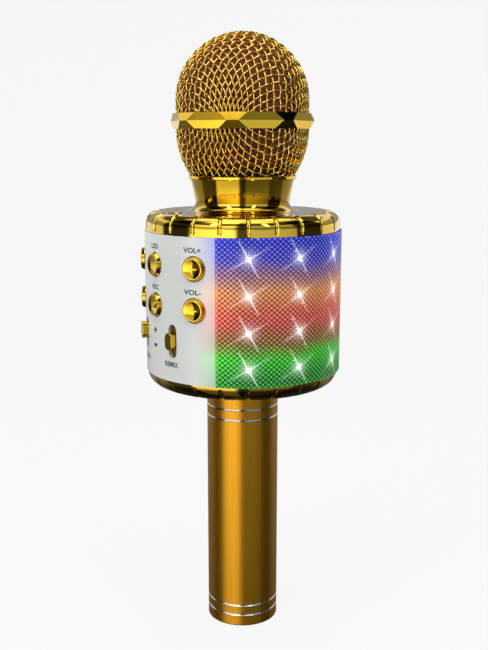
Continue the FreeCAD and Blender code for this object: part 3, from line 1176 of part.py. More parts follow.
# ---- Build --------------------------------------------------------------------------------------
def main():
    os.makedirs("parts", exist_ok=True)
    for old in os.listdir("parts"):
        os.remove(os.path.join("parts", old))
    singles = [handle_tube, end_cap, battery_cradle, battery_cell, battery_lead, bottom_cover, top_cover,
               drum_frame, control_panel, speaker_grille, light_diffuser, main_board, charging_port,
               card_reader, audio_jack, head_collar, lower_mesh, upper_mesh, head_band, foam_retainer,
               foam_liner, capsule_post, capsule_cup, microphone_capsule, microphone_lead]
    groups = [battery_contacts, light_strips, lights, tact_switches, board_chips, speaker_screws,
              speaker_leads, bottom_cover_screws, top_cover_screws, panel_screws]
    for make in singles:
        save(make.__name__, make())
    for make in groups:
        save(make.__name__, *make())
    for name, (azimuth, row, sign) in BUTTONS.items():
        save(name, button(azimuth, row, sign))
    for name, (azimuth, above_middle) in SLIDERS.items():
        save(name + "_knob", slide_knob(azimuth, above_middle))
        save(name + "_slide_control", slide_control(azimuth))
    for name, side in (("left", -1), ("right", 1)):
        save("side_board_" + name, side_board(side))
    for make in (speaker_basket, speaker_magnet, speaker_cone):
        right, left = both_sides(make())
        save(make.__name__ + "_right", right)
        save(make.__name__ + "_left", left)


main()
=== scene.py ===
import math

import bpy
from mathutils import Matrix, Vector


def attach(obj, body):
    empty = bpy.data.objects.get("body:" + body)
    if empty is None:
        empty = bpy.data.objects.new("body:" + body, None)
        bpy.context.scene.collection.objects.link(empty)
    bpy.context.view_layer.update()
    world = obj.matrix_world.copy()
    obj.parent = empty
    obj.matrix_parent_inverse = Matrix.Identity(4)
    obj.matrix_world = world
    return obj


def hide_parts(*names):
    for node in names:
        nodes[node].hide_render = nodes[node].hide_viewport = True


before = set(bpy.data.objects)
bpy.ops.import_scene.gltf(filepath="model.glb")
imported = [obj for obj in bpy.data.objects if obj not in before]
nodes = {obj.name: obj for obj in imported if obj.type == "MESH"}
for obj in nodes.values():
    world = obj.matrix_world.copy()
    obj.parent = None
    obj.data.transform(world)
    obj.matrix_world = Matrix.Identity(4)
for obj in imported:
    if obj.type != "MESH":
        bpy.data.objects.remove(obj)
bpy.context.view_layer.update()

stage_scene = bpy.context.scene

# ---- Camera -------------------------------------------------------------------------------------
# The microphone stands on the flat end of its handle, and is seen from a little above the drum with
# the panel's middle turned 58.7 degrees to the left, so that the grille's lights face the viewer.
CAMERA_TURN = 58.7
CAMERA_AWAY = 0.398166
CAMERA_HEIGHT = 0.203362
CAMERA_DOWN = 12.1212
CAMERA_LENS = 53.911
CAMERA_SHIFT = (0.00231, 0.03846)

camera_data = bpy.data.cameras.new("camera")
camera_data.sensor_width = 36.0
camera_data.lens = CAMERA_LENS
camera_data.shift_x, camera_data.shift_y = CAMERA_SHIFT
camera_data.clip_start = 0.01
camera_data.clip_end = 20.0
camera = bpy.data.objects.new("camera", camera_data)
camera_turn = math.radians(CAMERA_TURN)
camera.location = (CAMERA_AWAY * math.sin(camera_turn), -CAMERA_AWAY * math.cos(camera_turn), CAMERA_HEIGHT)
camera.rotation_euler = (math.radians(90 - CAMERA_DOWN), 0, camera_turn)
stage_scene.collection.objects.link(camera)
stage_scene.camera = camera
stage_scene.view_settings.view_transform = "Standard"
stage_scene.view_settings.look = "None"

# ---- Floor and backdrop -------------------------------------------------------------------------
# A pale round floor that sweeps up into a pale wall all round. It mostly glows by itself, so it
# stays even, and it only darkens a little where the microphone stands.
FLOOR_RADIUS = 2.2
SWEEP_RADIUS = 0.9
WALL_TOP = 3.2
FLOOR_STEPS = 96
SWEEP_STEPS = 16
FLOOR_GLOW = 0.885
FLOOR_COLOUR = (0.04, 0.04, 0.04, 1)


def socket_or_value(tree, socket, value):
    """Feeds a socket from another one, or sets it to a plain value."""
    if isinstance(value, bpy.types.NodeSocket):
        tree.links.new(value, socket)
    else:
        socket.default_value = value


def sum_up(tree, operation, *values, clamp=False):
    """One Math node, and the socket that its answer comes out of."""
    node = tree.nodes.new("ShaderNodeMath")
    node.operation = operation
    node.use_clamp = clamp
    for socket, value in zip(node.inputs, values):
        socket_or_value(tree, socket, value)
    return node.outputs[0]


def put_node(tree, kind, **settings):
    """A node with some of its inputs or options set by name."""
    node = tree.nodes.new(kind)
    for name, value in settings.items():
        if name in node.inputs:
            socket_or_value(tree, node.inputs[name], value)
        else:
            setattr(node, name, value)
    return node


def colour_ramp(tree, factor, stops, interpolation="LINEAR"):
    """A Color Ramp with stops given as (position, colour), and the socket of its colour."""
    node = tree.nodes.new("ShaderNodeValToRGB")
    node.color_ramp.interpolation = interpolation
    elements = node.color_ramp.elements
    while len(elements) < len(stops):
        elements.new(1.0)
    for element, (position, colour) in zip(elements, stops):
        element.position = position
        element.color = (*colour[:3], 1.0)
    tree.links.new(factor, node.inputs["Fac"])
    return node.outputs["Color"]


def empty_material(name):
    """A new material with only its output node."""
    material = bpy.data.materials.new(name)
    material.use_nodes = True
    material.node_tree.nodes.clear()
    return material, put_node(material.node_tree, "ShaderNodeOutputMaterial")


def new_piece(name, points, faces, smooth=True):
    """A mesh object made from its points and faces."""
    mesh = bpy.data.meshes.new(name)
    mesh.from_pydata(points, [], faces)
    mesh.validate()
    if smooth:
        mesh.shade_smooth()
    item = bpy.data.objects.new(name, mesh)
    stage_scene.collection.objects.link(item)
    return item


def turned_piece(name, outline, steps):
    """A turned surface: outline is a list of (radius, height) in metres, carried round the axis."""
    vertices = []
    for k in range(steps):
        turn = 2 * math.pi * k / steps
        for r, z in outline:
            vertices.append((r * math.cos(turn), r * math.sin(turn), z))
    count = len(outline)
    faces = []
    for k in range(steps):
        here, there = k * count, (k + 1) % steps * count
        for i in range(count - 1):
            faces.append((here + i, there + i, there + i + 1, here + i + 1))
    return new_piece(name, vertices, faces)


floor_line = [(0.0001, 0.0), (0.4, 0.0), (FLOOR_RADIUS - SWEEP_RADIUS, 0.0)]
for i in range(1, SWEEP_STEPS + 1):
    lean = math.radians(90 * i / SWEEP_STEPS)
    floor_line.append((FLOOR_RADIUS - SWEEP_RADIUS + SWEEP_RADIUS * math.sin(lean),
                       SWEEP_RADIUS * (1 - math.cos(lean))))
floor_line.append((FLOOR_RADIUS, WALL_TOP))
floor = turned_piece("studio_floor", floor_line, FLOOR_STEPS)
floor_finish, floor_out = empty_material("studio_paper")
tree = floor_finish.node_tree
glow = put_node(tree, "ShaderNodeEmission", Color=(1, 1, 1, 1), Strength=FLOOR_GLOW)
paper = put_node(tree, "ShaderNodeBsdfDiffuse", Color=FLOOR_COLOUR)
both = put_node(tree, "ShaderNodeAddShader")
tree.links.new(glow.outputs[0], both.inputs[0])
tree.links.new(paper.outputs[0], both.inputs[1])
tree.links.new(both.outputs[0], floor_out.inputs["Surface"])
floor.data.materials.append(floor_finish)
floor.visible_glossy = False
floor.visible_diffuse = False
floor.visible_transmission = False
floor.visible_shadow = False

# ---- Studio light -------------------------------------------------------------------------------
# A white tent: bright cloth behind the microphone, dark gaps at its sides, and soft boxes to the
# left and right of the viewer, which plated parts show as bright and dark bands. Below the drum the
# cloth behind is in shadow, and the gaps and boxes differ less.
GAP_START, GAP_END = 66.0, 106.0
BOX_START = 8.0
UPPER_TENT = {"behind": 1.05, "gap": 0.03, "left": (2.5, 2.42, 2.2), "right": (0.82, 0.90, 1.15)}
LOWER_TENT = {"behind": 0.40, "gap": 0.13, "left": (3.1, 2.95, 2.7), "right": (0.50, 0.52, 0.55)}
DRUM_LEVELS = ((0.435, 0.0), (0.47, 1.0))
TENT_LEVELS = ((0.0, 0.02), (0.28, 0.05), (0.36, 0.45), (0.44, 0.9), (0.5, 1.0), (0.505, 0.9), (0.518, 0.31),
               (0.61, 0.41), (0.63, 1.0), (0.66, 1.0), (0.69, 0.10), (0.78, 0.06), (0.84, 1.2), (1.0, 1.5))
CROWN_LEVELS = ((0.80, 0.0), (0.88, 1.2), (1.0, 1.2))
LAMP_AIM = 0.14

world = bpy.data.worlds.new("studio_tent")
stage_scene.world = world
world.use_nodes = True
tree = world.node_tree
tree.nodes.clear()
direction = put_node(tree, "ShaderNodeTexCoord").outputs["Generated"]
axes = put_node(tree, "ShaderNodeSeparateXYZ", Vector=direction)
around = sum_up(tree, "ARCTAN2", axes.outputs["X"], sum_up(tree, "MULTIPLY", axes.outputs["Y"], -1.0))
from_viewer = sum_up(tree, "SUBTRACT", around, camera_turn)
from_viewer = sum_up(tree, "WRAP", from_viewer, math.pi, -math.pi)
side = sum_up(tree, "MULTIPLY_ADD", from_viewer, 0.5 / math.pi, 0.5)
height = sum_up(tree, "DIVIDE", sum_up(tree, "ARCSINE", axes.outputs["Z"]), math.pi / 2)
band_height = sum_up(tree, "MULTIPLY_ADD", height, 0.5, 0.5)


def grey(value):
    """A grey as a colour."""
    return value, value, value


def grey_ramp(tree, factor, levels):
    """A Color Ramp from greys given as (position, level)."""
    return colour_ramp(tree, factor, [(position, grey(level)) for position, level in levels])


def tent_round(lights):
    """The tent's light all the way round: the cloth behind, the two gaps and the two soft boxes."""
    behind, gap = grey(lights["behind"]), grey(lights["gap"])
    stops = [(0.0, behind), (1.0, behind)]
    for way, box in ((-1, lights["left"]), (1, lights["right"])):
        edge_of_box = [c * 0.75 for c in box]
        for angle, value in ((BOX_START - 3, grey(0.10)), (BOX_START + 3, box), (GAP_START - 4, edge_of_box),
                             (GAP_START, gap), (GAP_END - 3, gap), (GAP_END + 2, behind)):
            stops.append((0.5 + way * angle / 360, value))
    return colour_ramp(tree, side, sorted(stops, key=lambda stop: stop[0]))


above_drum = grey_ramp(tree, band_height, DRUM_LEVELS)
round_mix = put_node(tree, "ShaderNodeMix", data_type="RGBA")
tree.links.new(above_drum, round_mix.inputs["Factor"])
tree.links.new(tent_round(LOWER_TENT), round_mix.inputs["A"])
tree.links.new(tent_round(UPPER_TENT), round_mix.inputs["B"])
level = round_mix.outputs["Result"]
level_up = grey_ramp(tree, band_height, TENT_LEVELS)
mix_up = put_node(tree, "ShaderNodeMix", data_type="RGBA", blend_type="MULTIPLY")
mix_up.inputs["Factor"].default_value = 1.0
tree.links.new(level, mix_up.inputs["A"])
tree.links.new(level_up, mix_up.inputs["B"])
crown = grey_ramp(tree, band_height, CROWN_LEVELS)
lit = put_node(tree, "ShaderNodeMix", data_type="RGBA", blend_type="ADD")
lit.inputs["Factor"].default_value = 1.0
tree.links.new(mix_up.outputs["Result"], lit.inputs["A"])
tree.links.new(crown, lit.inputs["B"])
background = put_node(tree, "ShaderNodeBackground", Strength=1.0)
tree.links.new(lit.outputs["Result"], background.inputs["Color"])
world_out = put_node(tree, "ShaderNodeOutputWorld")
tree.links.new(background.outputs[0], world_out.inputs["Surface"])


def soft_box(name, turn, away, up, size, power, colour, mirrored=False):
    """A soft area light at an azimuth from the panel's front, aimed at the drum."""
    data = bpy.data.lights.new(name, "AREA")
    data.shape = "RECTANGLE"
    data.size, data.size_y = size
    data.energy = power
    data.color = colour
    lamp = bpy.data.objects.new(name, data)
    bearing = math.radians(turn)
    lamp.location = (away * math.sin(bearing), -away * math.cos(bearing), up)
    aim = Vector((0, 0, LAMP_AIM)) - lamp.location
    lamp.rotation_euler = aim.to_track_quat("-Z", "Y").to_euler()
    lamp.visible_glossy = mirrored
    stage_scene.collection.objects.link(lamp)


soft_box("box_left", CAMERA_TURN - 60, 0.9, 0.45, (0.5, 0.8), 5.0, (1.0, 0.99, 0.97))
soft_box("box_right", CAMERA_TURN + 55, 0.9, 0.40, (0.5, 0.8), 4.0, (1.0, 0.99, 0.97))
soft_box("box_top", CAMERA_TURN, 0.25, 1.0, (0.8, 0.8), 5.0, (1.0, 1.0, 1.0))
soft_box("strip_left", CAMERA_TURN - 38, 0.8, 0.95, (0.10, 0.40), 1.6, (1.0, 0.97, 0.88), mirrored=True)
soft_box("strip_right", CAMERA_TURN + 30, 0.8, 0.80, (0.08, 0.40), 0.9, (1.0, 0.98, 0.92), mirrored=True)

# ---- Handle tube --------------------------------------------------------------------------------
# Drawn aluminium tube, bead-blasted and anodised orange gold. Two pairs of fine grooves are cut
# through the anodising with a diamond tool, so they show bright silver metal.
HANDLE_COLOUR = (0.60, 0.29, 0.018, 1)
SILVER_COLOUR = (0.80, 0.79, 0.78, 1)
GROOVE_HEIGHTS = (0.0051, 0.0094, 0.0912, 0.0956)
GROOVE_HALF = 0.00045


def finish(name, colour, metallic=0.0, roughness=0.4, **sockets):
    """A material with a Principled shader, its tree and shader node, and the point on the piece.

    The point is in the piece's own frame, in metres, so it stays with the piece when it moves.
    """
    material, out = empty_material(name)
    tree = material.node_tree
    shader = put_node(tree, "ShaderNodeBsdfPrincipled")
    shader.inputs["Base Color"].default_value = colour
    shader.inputs["Metallic"].default_value = metallic
    shader.inputs["Roughness"].default_value = roughness
    for label, value in sockets.items():
        shader.inputs[label.replace("_", " ")].default_value = value
    tree.links.new(shader.outputs[0], out.inputs["Surface"])
    return material, tree, shader, put_node(tree, "ShaderNodeTexCoord").outputs["Object"]


def stretched(tree, place, x, y, z):
    """The place scaled along each axis, for grain that runs one way."""
    node = put_node(tree, "ShaderNodeMapping", Vector=place)
    node.inputs["Scale"].default_value = (x, y, z)
    return node.outputs[0]


def noise(tree, place, scale, detail=3.0, rough=0.55):
    """A noise value around 0.5 at a scale in cycles per metre."""
    node = put_node(tree, "ShaderNodeTexNoise", Vector=place, Scale=scale, Detail=detail, Roughness=rough)
    return node.outputs["Fac"]


def spread(tree, value, low, high):
    """Maps a noise value of 0.3 to 0.7 onto a range."""
    node = put_node(tree, "ShaderNodeMapRange", Value=value)
    for label, number in (("From Min", 0.3), ("From Max", 0.7), ("To Min", low), ("To Max", high)):
        node.inputs[label].default_value = number
    return node.outputs["Result"]


def bump(tree, shader, heights, distance, strength=1.0):
    """Raises the surface by a height value, over a distance in metres."""
    node = put_node(tree, "ShaderNodeBump", Height=heights, Distance=distance, Strength=strength)
    tree.links.new(node.outputs[0], shader.inputs["Normal"])
    return node


def tinted(tree, shader, colour, factor, darker=0.85, lighter=1.1):
    """Varies the base colour a little, from darker to lighter, by a factor."""
    stops = [(0.3, [c * darker for c in colour[:3]]), (0.7, [min(1.0, c * lighter) for c in colour[:3]])]
    result = colour_ramp(tree, factor, stops)
    tree.links.new(result, shader.inputs["Base Color"])
    return result


def clothe(node_name, material):
    """Gives a CAD node its finish."""
    item = nodes[node_name]
    item.data.materials.clear()
    item.data.materials.append(material)


def height_band(tree, place, middle, half):
    """1 inside a band of heights and 0 outside it."""
    z = put_node(tree, "ShaderNodeSeparateXYZ", Vector=place).outputs["Z"]
    return sum_up(tree, "COMPARE", z, middle, half)


anodised, tree, shader, place = finish("anodised_orange_gold", HANDLE_COLOUR, 1.0, 0.34)
streaks = noise(tree, stretched(tree, place, 1.0, 1.0, 0.05), 900.0)
blast = noise(tree, place, 5200.0, detail=2.0)
in_groove = 0.0
for groove_height in GROOVE_HEIGHTS:
    in_groove = sum_up(tree, "ADD", in_groove, height_band(tree, place, groove_height, GROOVE_HALF))
body_colour = colour_ramp(tree, streaks, [(0.3, [c * 0.94 for c in HANDLE_COLOUR[:3]]),
                                          (0.7, [c * 1.06 for c in HANDLE_COLOUR[:3]])])
coloured = put_node(tree, "ShaderNodeMix", data_type="RGBA")
tree.links.new(in_groove, coloured.inputs["Factor"])
tree.links.new(body_colour, coloured.inputs["A"])
coloured.inputs["B"].default_value = SILVER_COLOUR
tree.links.new(coloured.outputs["Result"], shader.inputs["Base Color"])
blasted = spread(tree, blast, 0.30, 0.38)
roughness = sum_up(tree, "SUBTRACT", blasted, sum_up(tree, "MULTIPLY", in_groove, 0.20))
tree.links.new(roughness, shader.inputs["Roughness"])
bump(tree, shader, blast, 0.00002, 0.5)
clothe("handle_tube", anodised)

# ---- End cap ------------------------------------------------------------------------------------
# Turned aluminium cap in the foot of the tube, anodised with it, with tool rings on its flat face
# and two small blind holes for a pin spanner.
TOOL_RING_PITCH = 0.00025

cap_metal, tree, shader, place = finish("turned_cap_gold", HANDLE_COLOUR, 1.0, 0.32)
axes = put_node(tree, "ShaderNodeSeparateXYZ", Vector=place)
across_x = sum_up(tree, "POWER", axes.outputs["X"], 2.0)
across_y = sum_up(tree, "POWER", axes.outputs["Y"], 2.0)
from_axis = sum_up(tree, "SQRT", sum_up(tree, "ADD", across_x, across_y))
tool_rings = sum_up(tree, "SINE", sum_up(tree, "MULTIPLY", from_axis, 2 * math.pi / TOOL_RING_PITCH))
bump(tree, shader, tool_rings, 0.000008, 0.6)
tinted(tree, shader, HANDLE_COLOUR, noise(tree, place, 400.0))
clothe("end_cap", cap_metal)

# ---- Cell and cradle ----------------------------------------------------------------------------
# A round rechargeable cell in a shrink sleeve, with nickel strips welded to its ends, in a moulded
# black trough. A red lead runs from it up into the drum.
SLEEVE_BLUE = (0.03, 0.09, 0.36, 1)
BLACK_PLASTIC = (0.014, 0.014, 0.015, 1)
NICKEL = (0.62, 0.60, 0.55, 1)
LEAD_RED = (0.36, 0.012, 0.01, 1)

sleeve, tree, shader, place = finish("shrink_sleeve", SLEEVE_BLUE, 0.0, 0.28, Coat_Weight=0.3)
tinted(tree, shader, SLEEVE_BLUE, noise(tree, place, 220.0), 0.9, 1.15)
bump(tree, shader, noise(tree, stretched(tree, place, 1, 1, 0.2), 500.0), 0.00004, 0.4)
clothe("battery_cell", sleeve)

black_moulding, tree, shader, place = finish("black_moulding", BLACK_PLASTIC, 0.0, 0.5)
spark_grain = noise(tree, place, 6000.0, detail=2.0)
tinted(tree, shader, BLACK_PLASTIC, noise(tree, place, 300.0), 0.8, 1.4)
tree.links.new(spread(tree, spark_grain, 0.42, 0.58), shader.inputs["Roughness"])
bump(tree, shader, spark_grain, 0.00002, 0.6)
clothe("battery_cradle", black_moulding)

nickel_plate, tree, shader, place = finish("nickel_plate", NICKEL, 1.0, 0.3)
rolled = noise(tree, stretched(tree, place, 1, 0.06, 1), 3000.0)
tinted(tree, shader, NICKEL, noise(tree, place, 500.0), 0.9, 1.08)
tree.links.new(spread(tree, rolled, 0.22, 0.38), shader.inputs["Roughness"])
clothe("battery_contacts", nickel_plate)

lead_jacket, tree, shader, place = finish("lead_jacket", LEAD_RED, 0.0, 0.45)
tinted(tree, shader, LEAD_RED, noise(tree, place, 350.0), 0.85, 1.2)
bump(tree, shader, noise(tree, place, 2500.0), 0.00002, 0.4)
for wire in ("battery_lead", "microphone_lead", "speaker_leads"):
    clothe(wire, lead_jacket)

# ---- Plated covers ------------------------------------------------------------------------------
# The drum's two covers: moulded plastic, metallised in a vacuum and lacquered deep yellow. It is a
# mirror-bright gold, with faint waves from the moulding and a few fine handling marks.
GOLD = (0.74, 0.47, 0.028, 1)
COVER_LACQUER = 0.6


def gold_plating(name, lacquer_weight):
    """Bright gold plating under a clear lacquer."""
    material, tree, shader, place = finish(name, GOLD, 1.0, 0.05,
                                           Coat_Weight=lacquer_weight, Coat_Roughness=0.05)
    marks = noise(tree, stretched(tree, place, 1.0, 1.0, 7.0), 1400.0, detail=4.0)
    tinted(tree, shader, GOLD, noise(tree, place, 60.0), 0.95, 1.05)
    tree.links.new(spread(tree, marks, 0.03, 0.08), shader.inputs["Roughness"])
    bump(tree, shader, noise(tree, place, 150.0, detail=1.0), 0.00008, 0.4)
    return material


cover_plating = gold_plating("plated_covers", COVER_LACQUER)
for cover in ("bottom_cover", "top_cover"):
    clothe(cover, cover_plating)

# ---- Frame, boards and sockets ------------------------------------------------------------------
# Inside the drum: a moulded black ring frame, green boards with black packages, black switches,
# nickel-plated slide controls and sockets, and zinc-plated screws.
MASK_GREEN = (0.012, 0.12, 0.04, 1)
ZINC = (0.55, 0.56, 0.56, 1)
SOOT_BLACK = (0.02, 0.02, 0.02, 1)

for moulded, slot in (("drum_frame", "frame_plastic"), ("capsule_post", "frame_plastic"),
                      ("tact_switches", "dark_plastic"), ("audio_jack", "dark_plastic"),
                      ("foam_retainer", "dark_plastic")):
    clothe(moulded, black_moulding)
for socket_part in ("echo_slide_control", "remix_slide_control", "charging_port", "card_reader"):
    clothe(socket_part, nickel_plate)

solder_mask, tree, shader, place = finish("green_solder_mask", MASK_GREEN, 0.0, 0.35, Coat_Weight=0.4)
tracks = put_node(tree, "ShaderNodeTexBrick", Vector=place, Scale=700.0).outputs["Fac"]
tinted(tree, shader, MASK_GREEN, tracks, 0.8, 1.5)
bump(tree, shader, tracks, 0.00002, 0.4)
for board in ("main_board", "side_board_left", "side_board_right"):
    clothe(board, solder_mask)

epoxy, tree, shader, place = finish("chip_epoxy", SOOT_BLACK, 0.0, 0.6)
tinted(tree, shader, SOOT_BLACK, noise(tree, place, 1500.0), 0.7, 1.6)
bump(tree, shader, noise(tree, place, 9000.0), 0.00001, 0.5)
clothe("board_chips", epoxy)

zinc_plate, tree, shader, place = finish("zinc_plate", ZINC, 1.0, 0.32)
tinted(tree, shader, ZINC, noise(tree, place, 700.0), 0.88, 1.1)
tree.links.new(spread(tree, noise(tree, place, 4000.0), 0.25, 0.42), shader.inputs["Roughness"])
for screws in ("bottom_cover_screws", "top_cover_screws", "panel_screws", "speaker_screws"):
    clothe(screws, zinc_plate)

# ---- Loudspeakers -------------------------------------------------------------------------------
# Two small loudspeakers behind the grille's sides: a black painted pressing, a dark magnet with its
# yoke, and a black paper cone with a soft rolled edge.
STOVE_BLACK = (0.02, 0.02, 0.021, 1)
FERRITE_GREY = (0.05, 0.05, 0.052, 1)

stove_paint, tree, shader, place = finish("black_paint", STOVE_BLACK, 0.0, 0.35, Coat_Weight=0.2)
tinted(tree, shader, STOVE_BLACK, noise(tree, place, 400.0), 0.8, 1.5)
bump(tree, shader, noise(tree, place, 1800.0), 0.00003, 0.5)
ferrite, tree, shader, place = finish("magnet_ferrite", FERRITE_GREY, 0.6, 0.5)
tinted(tree, shader, FERRITE_GREY, noise(tree, place, 900.0), 0.7, 1.4)
bump(tree, shader, noise(tree, place, 5000.0), 0.00002, 0.6)
cone_paper, tree, shader, place = finish("cone_paper", SOOT_BLACK, 0.0, 0.85)
fibres = noise(tree, place, 2600.0, detail=6.0)
tinted(tree, shader, SOOT_BLACK, fibres, 0.6, 1.8)
bump(tree, shader, fibres, 0.00006, 0.7)
for side in ("left", "right"):
    clothe("speaker_basket_" + side, stove_paint)
    clothe("speaker_magnet_" + side, ferrite)
    clothe("speaker_cone_" + side, cone_paper)

# ---- Light strips and diffuser ------------------------------------------------------------------
# Nine upright strips with four lights each, behind a milky sheet. They glow in level bands of blue,
# amber, red and green, and each light shows as a white star with four long thin rays. The stars
# are painted glare, drawn as glow on the milky sheet and again on the grille in front of it.
BAND_COLOURS = [(0.05, (0.004, 0.15, 0.008)), (0.20, (0.016, 0.33, 0.005)), (0.29, (0.14, 0.09, 0.010)),
                (0.36, (0.24, 0.060, 0.020)), (0.44, (0.38, 0.050, 0.036)), (0.52, (0.40, 0.078, 0.036)),
                (0.64, (0.43, 0.165, 0.045)), (0.76, (0.18, 0.080, 0.15)), (0.85, (0.042, 0.037, 0.32)),
                (1.00, (0.010, 0.019, 0.36))]
DRUM_LOW, DRUM_HIGH = 0.1113, 0.1684
LIGHT_COLUMN_PITCH = 29.5
LIGHT_ROW_PITCH = 0.014
LIGHT_MIDDLE = 0.1395
GRILLE_RADIUS = 0.04028
HEART_SIZE, HEART_LIGHT = 0.0009, 1.25
HALO_SIZE, HALO_LIGHT = 0.0028, 0.50
RAY_TILT = 29.0
RAY_LENGTH = 0.0105
RAY_THICKNESS = 0.00026
STEEP_RAY_LIGHT, SHALLOW_RAY_LIGHT = 1.25, 0.75
MASK_WHITE = (0.75, 0.76, 0.74, 1)
RESIN_YELLOW = (0.8, 0.78, 0.6, 1)
MILK_GLOW, MILK_PAINTED_STARS = 0.46, 2.4


def band_glow(tree, place):
    """The colour of the glowing bands at each height of the drum."""
    z = put_node(tree, "ShaderNodeSeparateXYZ", Vector=place).outputs["Z"]
    share = sum_up(tree, "DIVIDE", sum_up(tree, "SUBTRACT", z, DRUM_LOW), DRUM_HIGH - DRUM_LOW)
    wander = spread(tree, noise(tree, place, 55.0, detail=1.0), -0.018, 0.018)
    return colour_ramp(tree, sum_up(tree, "ADD", share, wander), BAND_COLOURS)


def painted_star_glare(tree, place):
    """Painted glare: 1 at the heart of each light, falling away round it and along four thin rays."""
    axes = put_node(tree, "ShaderNodeSeparateXYZ", Vector=place)
    behind = sum_up(tree, "ARCTAN2", sum_up(tree, "MULTIPLY", axes.outputs["X"], -1.0), axes.outputs["Y"])
    half_column = math.radians(LIGHT_COLUMN_PITCH / 2)
    aside = sum_up(tree, "MULTIPLY", sum_up(tree, "WRAP", behind, half_column, -half_column), GRILLE_RADIUS)
    first_row = LIGHT_MIDDLE - LIGHT_ROW_PITCH * 2
    lift = sum_up(tree, "WRAP", sum_up(tree, "SUBTRACT", axes.outputs["Z"], first_row + LIGHT_ROW_PITCH / 2),
                  LIGHT_ROW_PITCH / 2, -LIGHT_ROW_PITCH / 2)
    tilt = math.radians(RAY_TILT)
    along = sum_up(tree, "ADD", sum_up(tree, "MULTIPLY", aside, math.cos(tilt)),
                   sum_up(tree, "MULTIPLY", lift, math.sin(tilt)))
    across = sum_up(tree, "SUBTRACT", sum_up(tree, "MULTIPLY", lift, math.cos(tilt)),
                    sum_up(tree, "MULTIPLY", aside, math.sin(tilt)))
    squared = sum_up(tree, "ADD", sum_up(tree, "MULTIPLY", along, along),
                     sum_up(tree, "MULTIPLY", across, across))

    def bell(value, width):
        return sum_up(tree, "EXPONENT", sum_up(tree, "DIVIDE", value, -width ** 2))

    def ray(lengthwise, crosswise):
        from_heart = sum_up(tree, "DIVIDE", sum_up(tree, "ABSOLUTE", lengthwise), RAY_LENGTH)
        taper = sum_up(tree, "SUBTRACT", 1.0, from_heart, clamp=True)
        thin = bell(sum_up(tree, "MULTIPLY", crosswise, crosswise), RAY_THICKNESS)
        return sum_up(tree, "MULTIPLY", taper, thin)

    heart = sum_up(tree, "MULTIPLY", bell(squared, HEART_SIZE), HEART_LIGHT)
    halo = sum_up(tree, "MULTIPLY", bell(squared, HALO_SIZE), HALO_LIGHT)
    steep = sum_up(tree, "MULTIPLY", ray(across, along), STEEP_RAY_LIGHT)
    shallow = sum_up(tree, "MULTIPLY", ray(along, across), SHALLOW_RAY_LIGHT)
    return sum_up(tree, "ADD", sum_up(tree, "ADD", heart, halo), sum_up(tree, "ADD", steep, shallow))


def glowing(tree, shader, place, brightness, star_strength, extra=None):
    """Adds the bands, the painted stars and any extra painted white light to a shader's own light."""
    band = band_glow(tree, place)
    star = sum_up(tree, "MULTIPLY", painted_star_glare(tree, place), star_strength)
    if extra is not None:
        star = sum_up(tree, "ADD", star, extra)
    starred = put_node(tree, "ShaderNodeMix", data_type="RGBA", blend_type="ADD")
    starred.inputs["Factor"].default_value = 1.0
    tree.links.new(band, starred.inputs["A"])
    tree.links.new(star, starred.inputs["B"])
    tree.links.new(starred.outputs["Result"], shader.inputs["Emission Color"])
    shader.inputs["Emission Strength"].default_value = brightness


milk, tree, shader, place = finish("milky_sheet", (0.10, 0.10, 0.11, 1), 0.0, 0.5)
# The milky sheet's glow stands for the strips' light passing through it; its stars are painted glare.
glowing(tree, shader, place, MILK_GLOW, MILK_PAINTED_STARS)
bump(tree, shader, noise(tree, place, 3000.0), 0.00002, 0.3)
clothe("light_diffuser", milk)

white_mask, tree, shader, place = finish("white_solder_mask", MASK_WHITE, 0.0, 0.4)
tinted(tree, shader, MASK_WHITE, noise(tree, place, 800.0), 0.9, 1.05)
clothe("light_strips", white_mask)
resin, tree, shader, place = finish("light_resin", RESIN_YELLOW, 0.0, 0.2)
tinted(tree, shader, RESIN_YELLOW, noise(tree, place, 1200.0), 0.8, 1.1)
shader.inputs["Emission Color"].default_value = (1, 0.97, 0.9, 1)
shader.inputs["Emission Strength"].default_value = 2.0
clothe("lights", resin)

# ---- Speaker grille -----------------------------------------------------------------------------
# A sheet full of small round holes in staggered rows, rolled round the drum from one edge of the
# panel to the other. Its glow and colour are painted light: the sheet glows and is coloured in the
# bands of the lights behind it, though they cannot light its front, and it carries painted stars and
# painted glints where the webs between the holes cross.
GRILLE_START = 44.2
GRILLE_LOW, GRILLE_HIGH = 0.1114, 0.1683
GRILLE_THICK = 0.0006
GRILLE_EDGE = 0.0004
HOLE_RADIUS = 0.00050
# Strength and sharpness of the painted glints between the holes, and the sheet's painted glow and stars.
PAINTED_GLINT_LIGHT, PAINTED_GLINT_SHARPNESS = 0.62, 3.0
GRILLE_PAINTED_GLOW, GRILLE_PAINTED_STARS = 0.62, 0.95
HOLES_ROUND = 86
HOLE_ROWS = 58

grille_arc = math.radians(360 - 2 * GRILLE_START) * GRILLE_RADIUS
hole_step = (grille_arc - 2 * GRILLE_EDGE) / (HOLES_ROUND + 0.5)
row_step = (GRILLE_HIGH - GRILLE_LOW - 2 * GRILLE_EDGE) / (HOLE_ROWS + 1)
grille_points = []
grille_faces = []
point_at = {}


def rolled_point(u, v, depth=0.0):
    """A point of the flat sheet, rolled round the drum: u round it and v up it."""
    turn = math.radians(GRILLE_START) + u / GRILLE_RADIUS
    r = GRILLE_RADIUS - depth
    return (r * math.sin(turn), -r * math.cos(turn), GRILLE_LOW + v)


